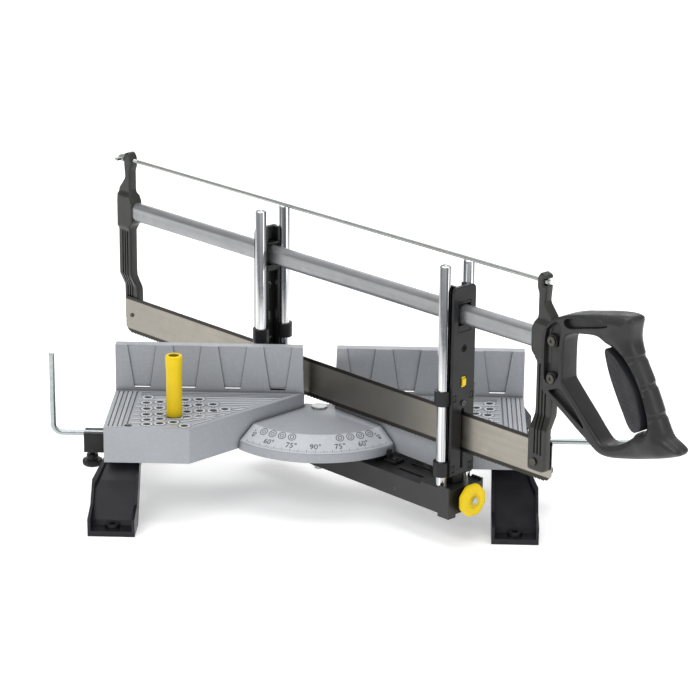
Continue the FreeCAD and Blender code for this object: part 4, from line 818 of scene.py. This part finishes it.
def add_lettering(bm, text, size, space):
    """Letters as thin solids, centred on a drawing space."""
    curve = bpy.data.curves.new("lettering", "FONT")
    curve.body = text
    curve.size = size
    curve.align_x = "CENTER"
    curve.align_y = "CENTER"
    curve.extrude = -INK_FOOT
    curve.resolution_u = 3
    holder = new_object("lettering", curve)
    bpy.context.view_layer.update()
    mesh = bpy.data.meshes.new_from_object(holder)
    mesh.transform(space)
    bm.from_mesh(mesh)
    bpy.data.objects.remove(holder)
    bpy.data.curves.remove(curve)
    bpy.data.meshes.remove(mesh)


def add_outline(bm, corners, width, space):
    """Flat band round a closed outline, proud of the surface by a little."""
    middle = sum((Vector((*corner, 0)) for corner in corners), Vector()) / len(corners)
    rings = []
    for reach, lift in ((1, INK_FOOT), (1, INK_TOP), (-1, INK_TOP), (-1, INK_FOOT)):
        ring = []
        for corner in corners:
            arm = Vector((*corner, 0)) - middle
            point = middle + arm * (1 + reach * width / 2 / arm.length) + UP * lift
            ring.append(bm.verts.new(space @ point))
        rings.append(ring)
    for first, second in zip(rings, rings[1:] + rings[:1]):
        bridge(bm, first, second)


def mark_scale():
    """Ticks, numbers and plain symbols (a polygon in a ring) along the sloping edge."""
    marks = bmesh.new()
    for degrees in range(-45, 46):
        long, wide = (2.6, 0.34) if degrees % 5 == 0 else (1.5, 0.2)
        space = on_scale(degrees, SCALE_OUTER - 0.8 - long / 2)
        tick = [(x * wide / 2, y * long / 2) for x, y in SQUARE]
        lower, upper = (
            [marks.verts.new(space @ Vector((*corner, lift))) for corner in tick]
            for lift in (INK_FOOT, INK_TOP)
        )
        marks.faces.new(upper)
        marks.faces.new(lower[::-1])
        bridge(marks, lower, upper)
    for degrees in range(-30, 31, 15):
        text = "%d°" % (90 - abs(degrees))
        add_lettering(marks, text, 7.4, on_scale(degrees, SCALE_OUTER - 5.9))
    for side in (-1, 1):
        add_lettering(marks, "45°", 5.8, on_scale(side * 43.2, SCALE_OUTER - 9.5, 90))
        for number, sides in enumerate((8, 6, 5, 4)):
            space = on_scale(side * (16 + 7.2 * number), SCALE_OUTER - 13.2)
            for reach, count in ((3.4, 20), (1.7, sides)):
                ring = [
                    (reach * math.sin(turn), reach * math.cos(turn)) for turn in around(count)
                ]
                add_outline(marks, ring, 0.55, space)
    draw_piece("angle_scale_marks", marks, STAND, "scale_ink", "angle_scale")


mark_scale()


# ---- turned pieces ----

def make_rods(name):
    """Pair of ground rods with chamfered ends and a turned groove above the arm."""
    low, high = extent(name, ARM)
    radius = (high.x - low.x) / 2
    bm = bmesh.new()
    profile = [
        (0, low.z), (radius - 0.7, low.z), (radius, low.z + 0.7), (radius, high.z - 1.1),
        (radius - 0.35, high.z - 0.45), (radius - 1.1, high.z), (1.4, high.z),
        (1.1, high.z - 0.6), (0, high.z - 1.4),
    ]
    for across in (low.y + radius, high.y - radius):
        turned(bm, profile, ((low.x + high.x) / 2, across, 0), UP, 56)
    draw_piece(name + "_ground", bm, ARM, "chrome", name, (name,), 30)


make_rods("front_rods")
make_rods("rear_rods")


def flat_sided(turn, sides):
    """Distance to the side of a polygon whose sides are one away from its middle."""
    half = math.pi / sides
    return 1 / math.cos((turn + half) % (2 * half) - half)


def eight_sided(turn, radius):
    """Octagon with soft corners for the wide part of the knob, a circle for its neck."""
    return 1.0 if radius < 9 else min(1.0, 0.955 * flat_sided(turn, 8))


def six_sided(turn, radius):
    """Hexagon for the flats of the nut, circles for its chamfer and its stud."""
    return 0.87 * flat_sided(turn, 6) if radius > 3 else 1.0


def make_knob():
    """Yellow knob with a dished face, and the nut that holds it on its screw."""
    low, high = extent("lock_knob", ARM)
    radius = (high.z - low.z) / 2
    height = (high.z + low.z) / 2
    front = high.x
    bm = bmesh.new()
    profile = [
        (0, low.x + 0.1), (4.2, low.x + 0.1), (4.2, front - 7), (radius - 1.9, front - 7),
        (radius - 0.5, front - 6.3), (radius, front - 5.2), (radius, front - 2.6),
        (radius - 0.5, front - 1.2), (radius - 1.7, front - 0.35), (radius - 3.0, front - 0.1),
        (7.4, front - 0.1), (6.6, front - 0.35), (5.9, front - 1.1), (4.4, front - 1.2),
        (4.1, front - 0.6), (0, front - 0.6),
    ]
    turned(bm, profile, (0, 0, height), (1, 0, 0), 96, eight_sided)
    draw_piece("lock_knob_cap", bm, ARM, "yellow_plastic", "lock_knob", ("lock_knob",), 40)
    nut = bmesh.new()
    turned(
        nut, [(0, front - 1.4), (3.5, front - 1.4), (3.5, front - 0.35), (3.1, front),
              (2.0, front), (1.8, front - 0.3), (1.5, front + 0.05), (0, front + 0.1)],
        (0, 0, height), (1, 0, 0), 48, six_sided
    )
    draw_piece("lock_knob_nut", nut, ARM, "zinc", "lock_knob", sharp=30)


make_knob()


def knurled(turn, radius):
    """Fine waves round the disc of a thumbscrew, and none on its hub and thread."""
    return 1.0 + (0.028 * math.cos(28 * turn) if radius > 7.4 else 0.0)


def make_thumbscrew(name):
    """Knurled disc with a hub and a threaded shank."""
    low, high = extent(name, STAND)
    foot = low.z
    rim = (high.x - low.x) / 2 - 0.25
    profile = [
        (0, foot), (rim - 2.4, foot), (rim - 1.4, foot + 0.2), (rim - 0.2, foot + 1.4),
        (rim, foot + 2.4), (rim, foot + 4.8), (rim - 0.5, foot + 5.8), (rim - 1.7, foot + 6.0),
        (5.4, foot + 6.2), (5.2, foot + 10.4), (4.8, foot + 11), (2.4, foot + 11.1),
    ]
    pitch = 0.8
    for number in range(int((high.z - 0.6 - foot - 11.6) / pitch)):
        level = foot + 11.6 + number * pitch
        profile += [(2.45, level), (2.15, level + 0.4)]
    profile += [(2.3, high.z - 0.5), (1.8, high.z), (0, high.z)]
    bm = bmesh.new()
    middle = (low + high) / 2
    turned(bm, profile, (middle.x, middle.y, 0), UP, 112, knurled)
    draw_piece(name + "_knurled", bm, STAND, "black_plastic", name, (name,), 45)


make_thumbscrew("left_stop_thumbscrew")
make_thumbscrew("right_stop_thumbscrew")


def make_cam():
    """Yellow clamp cam: a thick sleeve with a collar whose lower edge climbs round it."""
    low, high = extent("clamp_cam", STAND)
    radius = (high.x - low.x) / 2
    middle = (low + high) / 2
    core = radius - 0.45
    profile = [
        (0, high.z - 6), (3.3, high.z - 6.2), (3.3, low.z), (core - 0.5, low.z),
        (core, low.z + 0.6), (core, high.z - 14.2),
    ]
    # Each ring of the collar has a radius of its own, by which swell finds its level.
    levels = [high.z - 14 + 0.4 * step for step in range(31)]
    collar = {round(core + 0.2 + 1e-4 * step, 5): level for step, level in enumerate(levels)}
    profile += collar.items()
    profile += [
        (radius, high.z - 1.3), (radius - 0.35, high.z - 0.5), (radius - 1.1, high.z),
        (5.0, high.z), (4.6, high.z - 0.5), (4.6, high.z - 4), (0, high.z - 4.2),
    ]

    def swell(turn, reach):
        """Widen the collar above a line that climbs round the sleeve."""
        level = collar.get(round(reach, 5))
        if level is None:
            return 1.0
        edge = high.z - 7.6 + 3.6 * math.cos(turn - 0.6)
        rise = min(1.0, max(0.0, (level - edge) / 0.5))
        step = min(1.0, max(0.0, (level - (high.z - 13)) / 0.4))
        return (core + (radius - core) * (0.35 * step + 0.65 * rise)) / reach

    bm = bmesh.new()
    turned(bm, profile, (middle.x, middle.y, 0), UP, 96, swell)
    draw_piece("clamp_cam_sleeve", bm, STAND, "yellow_plastic", "clamp_cam", ("clamp_cam",), 32)


make_cam()


def make_tension_rod():
    """Plain rod with a thread cut along its rear end."""
    low, high = extent("tension_rod", ARM)
    radius = (high.y - low.y) / 2
    height = (high.z + low.z) / 2
    profile = [(0, low.x), (radius - 0.5, low.x), (radius, low.x + 0.5)]
    pitch = 0.8
    for number in range(34):
        along = low.x + 1 + number * pitch
        profile += [(radius, along), (radius - 0.28, along + pitch / 2)]
    plain = radius - 0.1
    profile += [
        (plain, low.x + 30), (plain, high.x - 0.6), (radius - 0.6, high.x), (0, high.x),
    ]
    bm = bmesh.new()
    turned(bm, profile, (0, 0, height), (1, 0, 0), 32)
    draw_piece("tension_rod_threaded", bm, ARM, "zinc", "tension_rod", ("tension_rod",), 30)


make_tension_rod()


def make_stop_rod():
    """Bent length stop swept along its centre line, with rounded ends."""
    low, high = extent("length_stop_rod", STAND)
    radius = (high.y - low.y) / 2
    height = low.z + radius
    bend, chamfer, sides = 8.0, 0.6, 32
    left = low.x + radius
    middle = (low.y + high.y) / 2
    path = [Vector((left, middle, level)) for level in (high.z, high.z - chamfer)]
    for step in range(9):
        angle = math.radians(90 * step / 8)
        path.append(Vector((
            left + bend - bend * math.cos(angle), middle, height + bend - bend * math.sin(angle)
        )))
    path += [Vector((along, middle, height)) for along in (high.x - chamfer, high.x)]
    bm = bmesh.new()
    rings = []
    for number, point in enumerate(path):
        before = path[max(0, number - 1)]
        after = path[min(len(path) - 1, number + 1)]
        run = (after - before).normalized()
        side = Vector((0, 1, 0))
        other = run.cross(side)
        reach = radius - (chamfer if number in (0, len(path) - 1) else 0)
        rings.append([
            bm.verts.new(point + reach * (side * math.cos(turn) + other * math.sin(turn)))
            for turn in around(sides)
        ])
    for first, second in zip(rings, rings[1:]):
        bridge(bm, first, second)
    bm.faces.new(rings[0])
    bm.faces.new(rings[-1])
    draw_piece("length_stop_bent_rod", bm, STAND, "stop_rod", "length_stop_rod",
               ("length_stop_rod",), 30)


make_stop_rod()


# ---- posts ----

# Outline of a post: distance from its blade pin towards the saw's end, and height.
POST = [
    (-7.5, 93.8), (-7.5, 126), (-5.2, 136), (-4, 146), (-4, 190.5), (-9.2, 196), (-9.2, 216),
    (-4, 226), (-4, 246), (-6, 250), (-6, 259), (-2, 264), (3.2, 262), (4.5, 261), (4.5, 252),
    (3.2, 238.5), (12.5, 227), (13.6, 215), (13.6, 147), (12.6, 131), (12.2, 122), (12.2, 95),
    (9, 93), (-5, 93),
]
PIN_SETBACK = 9.2
GROOVES = (0.2, 3.7, 7.2)
GROOVE_DEPTH = 1.3


def make_post(node, end):
    """Cast post: a web with a thick block round the spine and a foot set off to one side."""
    low, high = extent(node, ARM)
    pin = low.x + PIN_SETBACK if end > 0 else high.x - PIN_SETBACK
    aside = -1 if end > 0 else 1
    outline = []
    for first, second in zip(POST, POST[1:] + POST[:1]):
        start, stop = Vector(first), Vector(second)
        cut = min(1.3, (stop - start).length * 0.3)
        run = (stop - start).normalized() * cut
        outline += [start + run, stop - run]
    if end > 0:
        notch = [(4.5, 258.6), (0.4, 258.6), (0.4, 253.0), (4.5, 253.0)]
        place = next(step for step, point in enumerate(outline)
                     if point.x > 4.4 and 255 < point.y < 261)
        outline[place + 1:place + 1] = [Vector(corner) for corner in notch]
    outline = [Vector((pin + end * point.x, point.y)) for point in outline]
    outer = resampled(outline, 0.9)
    grooves = []
    for offset in GROOVES:
        middle = pin + end * offset
        grooves.append([
            Vector((middle + across, level)) for across, level in (
                (-1, 109), (-0.5, 107.6), (0.5, 107.6), (1, 109), (1, 130), (1, 150), (1, 170),
                (1, 185), (0.5, 186.4), (-0.5, 186.4), (-1, 185), (-1, 170), (-1, 150), (-1, 130),
            )
        ])

    def height(points):
        level = points[:, 1]
        thickness = np.interp(
            level, (130, 142, 187, 190, 221, 224), (3.8, 4.5, 4.5, 6.5, 6.5, 4.5)
        )
        edge = np.minimum(distance_to(points, [outer]), 1.5)
        tall = thickness - 1.5 + quarter(edge, 1.5)
        for groove in grooves:
            within = inside(points, groove)
            wall = np.clip(distance_to(points, [groove]) / 0.5, 0, 1)
            tall = tall - np.where(within, GROOVE_DEPTH * wall, 0)
        return tall

    def shift(points):
        return np.interp(points[:, 1], (130, 142), (aside * 4.7, 0))

    creases = []
    for groove in grooves:
        creases += [groove, squeezed(resampled(groove, 1.2), 0.5)]
    name = node + "_cast"
    mesh = swollen(name, outer, [], creases, height, step=0.9, middle=shift)
    add_piece(name, mesh, "dark_casting", node, (node,))


make_post("front_post", 1)
make_post("rear_post", -1)


# ---- blade ----

def make_blade():
    """Thin blade with set teeth along its lower edge."""
    low, high = extent("saw_blade", ARM)
    half = (high.y - low.y) / 2
    pitch, depth, root = 2.1, 1.3, low.z + 1.4
    start, end = low.x + 6, high.x - 6
    count = int((end - start) / pitch)
    foot = [(start + pitch * number, root) for number in range(count + 1)]
    outline = [
        (low.x, low.z + 6), (low.x + 4.6, root), *foot, (high.x - 4.6, root),
        (high.x, low.z + 6), (high.x, high.z - 1), (high.x - 1, high.z), (low.x + 1, high.z),
        (low.x, high.z - 1),
    ]
    bm = bmesh.new()
    sheets = [
        [bm.verts.new((x, side * half, z)) for x, z in outline] for side in (-1, 1)
    ]
    bm.faces.new(sheets[0])
    bm.faces.new(sheets[1][::-1])
    teeth = range(2, 2 + count)
    for step in range(len(outline)):
        following = (step + 1) % len(outline)
        if step not in teeth:
            bm.faces.new([sheets[0][following], sheets[0][step], sheets[1][step],
                          sheets[1][following]])
            continue
        lean = 0.28 * (-1) ** step
        tip = Vector((outline[step][0] + pitch * 0.78, lean, root - depth))
        near = bm.verts.new(tip - Vector((0, half, 0)))
        far = bm.verts.new(tip + Vector((0, half, 0)))
        bm.faces.new([sheets[0][step], near, sheets[0][following]])
        bm.faces.new([sheets[1][following], far, sheets[1][step]])
        bm.faces.new([near, sheets[0][step], sheets[1][step], far])
        bm.faces.new([sheets[0][following], near, far, sheets[1][following]])
    draw_piece("saw_blade_toothed", bm, ARM, "blade_steel", "saw_blade", ("saw_blade",), 20)


make_blade()


# ---- handle ----

GRIP_HALF = extent("handle", ARM)[1].y
# Outlines along the arm and upwards. SHAPE adds the half thickness and the edge radius there.
HANDLE = [
    (277, 167), (277, 190), (277, 214.5), (280.5, 222), (286, 228), (295, 233), (309, 238),
    (330, 243), (350, 247.6), (363, 249.4), (369.8, 248.6), (371.6, 245), (370, 237), (370, 227),
    (377, 213.6), (387, 198), (398, 177), (404.5, 164), (408.5, 158.5), (418.5, 154.6),
    (424.6, 150.8), (424.4, 146.6), (418, 143.6), (405.6, 139), (376.5, 131), (354, 126.4),
    (343, 126.2), (335.7, 130), (321.5, 139.5), (297.5, 155), (280, 164.4),
]
OPENING = [
    (300, 211), (302, 218), (309, 222), (329, 225), (337, 225), (345.5, 220.5), (352, 219.5),
    (363, 213.5), (376, 199), (386, 180), (390.4, 165), (388, 158), (377.5, 154), (376, 150),
    (366, 142.5), (357, 138), (350, 136), (343, 138), (338, 142.5), (301.5, 177.5), (300, 181),
]
INSERT = [
    (346.4, 219.6), (352, 218.6), (362.6, 212.8), (375.4, 198.6), (385.3, 180), (389.6, 165.2),
    (387.4, 158.8), (378.2, 155.2), (366.8, 175.4), (356.6, 193.8), (350.6, 207.4),
]
SHAPE = [
    (289, 195, 10, 2.2), (289, 225, 10, 2.4), (300, 180, 10, 2.2), (310, 230, 10, 2.4),
    (318, 150, 10, 2.4), (300, 165, 10, 2.2), (335, 238, 11.0, 5), (352, 240, 13.2, 8.5),
    (362, 246, 13.4, 9), (360, 228, 14.2, 11), (366, 205, 14.5, 13.7), (376, 188, 14.5, 13.8),
    (388, 168, 14.5, 13.8), (396, 152, 13.2, 11), (414, 149, 9.5, 8), (372, 138, 11, 7),
    (350, 132, 10.4, 4.6), (335, 137, 10, 3.4),
]
SCREW_BOSSES = [(289, 210.7), (289, 178.4)]
POCKETS = [
    [(299.4, 231.6), (303.5, 223.8), (323.2, 229.5), (340, 233.4), (353, 238.4), (343, 240.2),
     (327.1, 238.4), (309.5, 235)],
    [(280.4, 181), (280.4, 217.5), (286.6, 224.6), (294.3, 229.6), (299.4, 223.6), (297.4, 216),
     (296.9, 207.9), (296.9, 189.5), (296.6, 180), (288, 172.4), (281.6, 175)],
    [(284.4, 167.4), (290.2, 169.6), (299.6, 173.4), (311.3, 162.4), (330.5, 141.8),
     (316.6, 149.3), (297.2, 161.2)],
]
NOTCHES = [(375.6, 216.2), (388.0, 195.8), (399.4, 173.6)]
BOSS_RADIUS, POCKET_DEPTH, POCKET_WALL = 5.2, 4.2, 0.7


def circle(middle, radius):
    """Points of a circle round a middle."""
    return [
        Vector(middle) + radius * Vector((math.cos(turn), math.sin(turn))) for turn in around(28)
    ]


def make_handle():
    """Closed grip with deep pockets, raised screw bosses and notches down its back."""
    outer = resampled(rounded(HANDLE, 3), 0.8)
    for notch in NOTCHES:
        line = np.array(outer)
        dent = np.clip(1 - np.hypot(*(line - notch).T) / 1.9, 0, 1) * 1.5
        outer = [Vector(point) for point in line + inward(outer) * dent[:, None]]
    opening = rounded(OPENING)
    pockets = [rounded(pocket) for pocket in POCKETS]
    loops = [outer, resampled(opening, 0.8)]

    def height(points):
        tall = dome(points, loops, SHAPE)
        bosses = np.min([np.hypot(*(points - middle).T) for middle in SCREW_BOSSES], axis=0)
        for pocket in pockets:
            within = inside(points, pocket)
            wall = np.clip(distance_to(points, [pocket]) / POCKET_WALL, 0, 1)
            wall = np.minimum(wall, np.clip((bosses - BOSS_RADIUS) / POCKET_WALL, 0, 1))
            tall = tall - np.where(within, POCKET_DEPTH * wall, 0)
        return np.maximum(tall, 0.4)

    creases = []
    for pocket in pockets:
        creases += [pocket, squeezed(resampled(pocket, 1.2), POCKET_WALL)]
    for middle in SCREW_BOSSES:
        creases += [circle(middle, BOSS_RADIUS), circle(middle, BOSS_RADIUS + POCKET_WALL)]
    mesh = swollen("handle_moulding", outer, [opening], creases, height, step=0.8)
    add_piece("handle_moulding", mesh, "handle_plastic", "handle", ("handle",))


def make_insert():
    """Rubber pad in the grip, with slanting ridges."""
    outline = rounded(INSERT)
    loops = [resampled(rounded(HANDLE, 3), 1.5)]
    own = [resampled(outline, 1.5)]

    def height(points):
        body = dome(points, loops, SHAPE)
        edge = np.clip(distance_to(points, own), 0, 1.4)
        inner = quarter(edge, 1.4)
        ridges = 0.3 * np.sin((points @ (0.62, 0.78)) * 2 * math.pi / 2.4)
        return np.clip(body - 1.5 + inner + ridges * (edge > 1.2), 0.6, GRIP_HALF + 0.6)

    mesh = swollen("grip_insert_ribbed", outline, [], [], height, 0.9)
    add_piece("grip_insert_ribbed", mesh, "grip_rubber", "grip_inserts", ("grip_inserts",))


make_handle()
make_insert()


# ---- what stays as it was drawn ----

def dress_frame():
    """Give every carried-over CAD node the look of its slot in the record."""
    for name, node in nodes.items():
        look = LOOKS["black_screw" if name in BLACK_SCREWS else slots[name]]
        if not node.data.materials:
            node.data.materials.append(look)
        for place in node.material_slots:
            place.material = look


dress_frame()

make_camera()
make_floor()
make_studio()
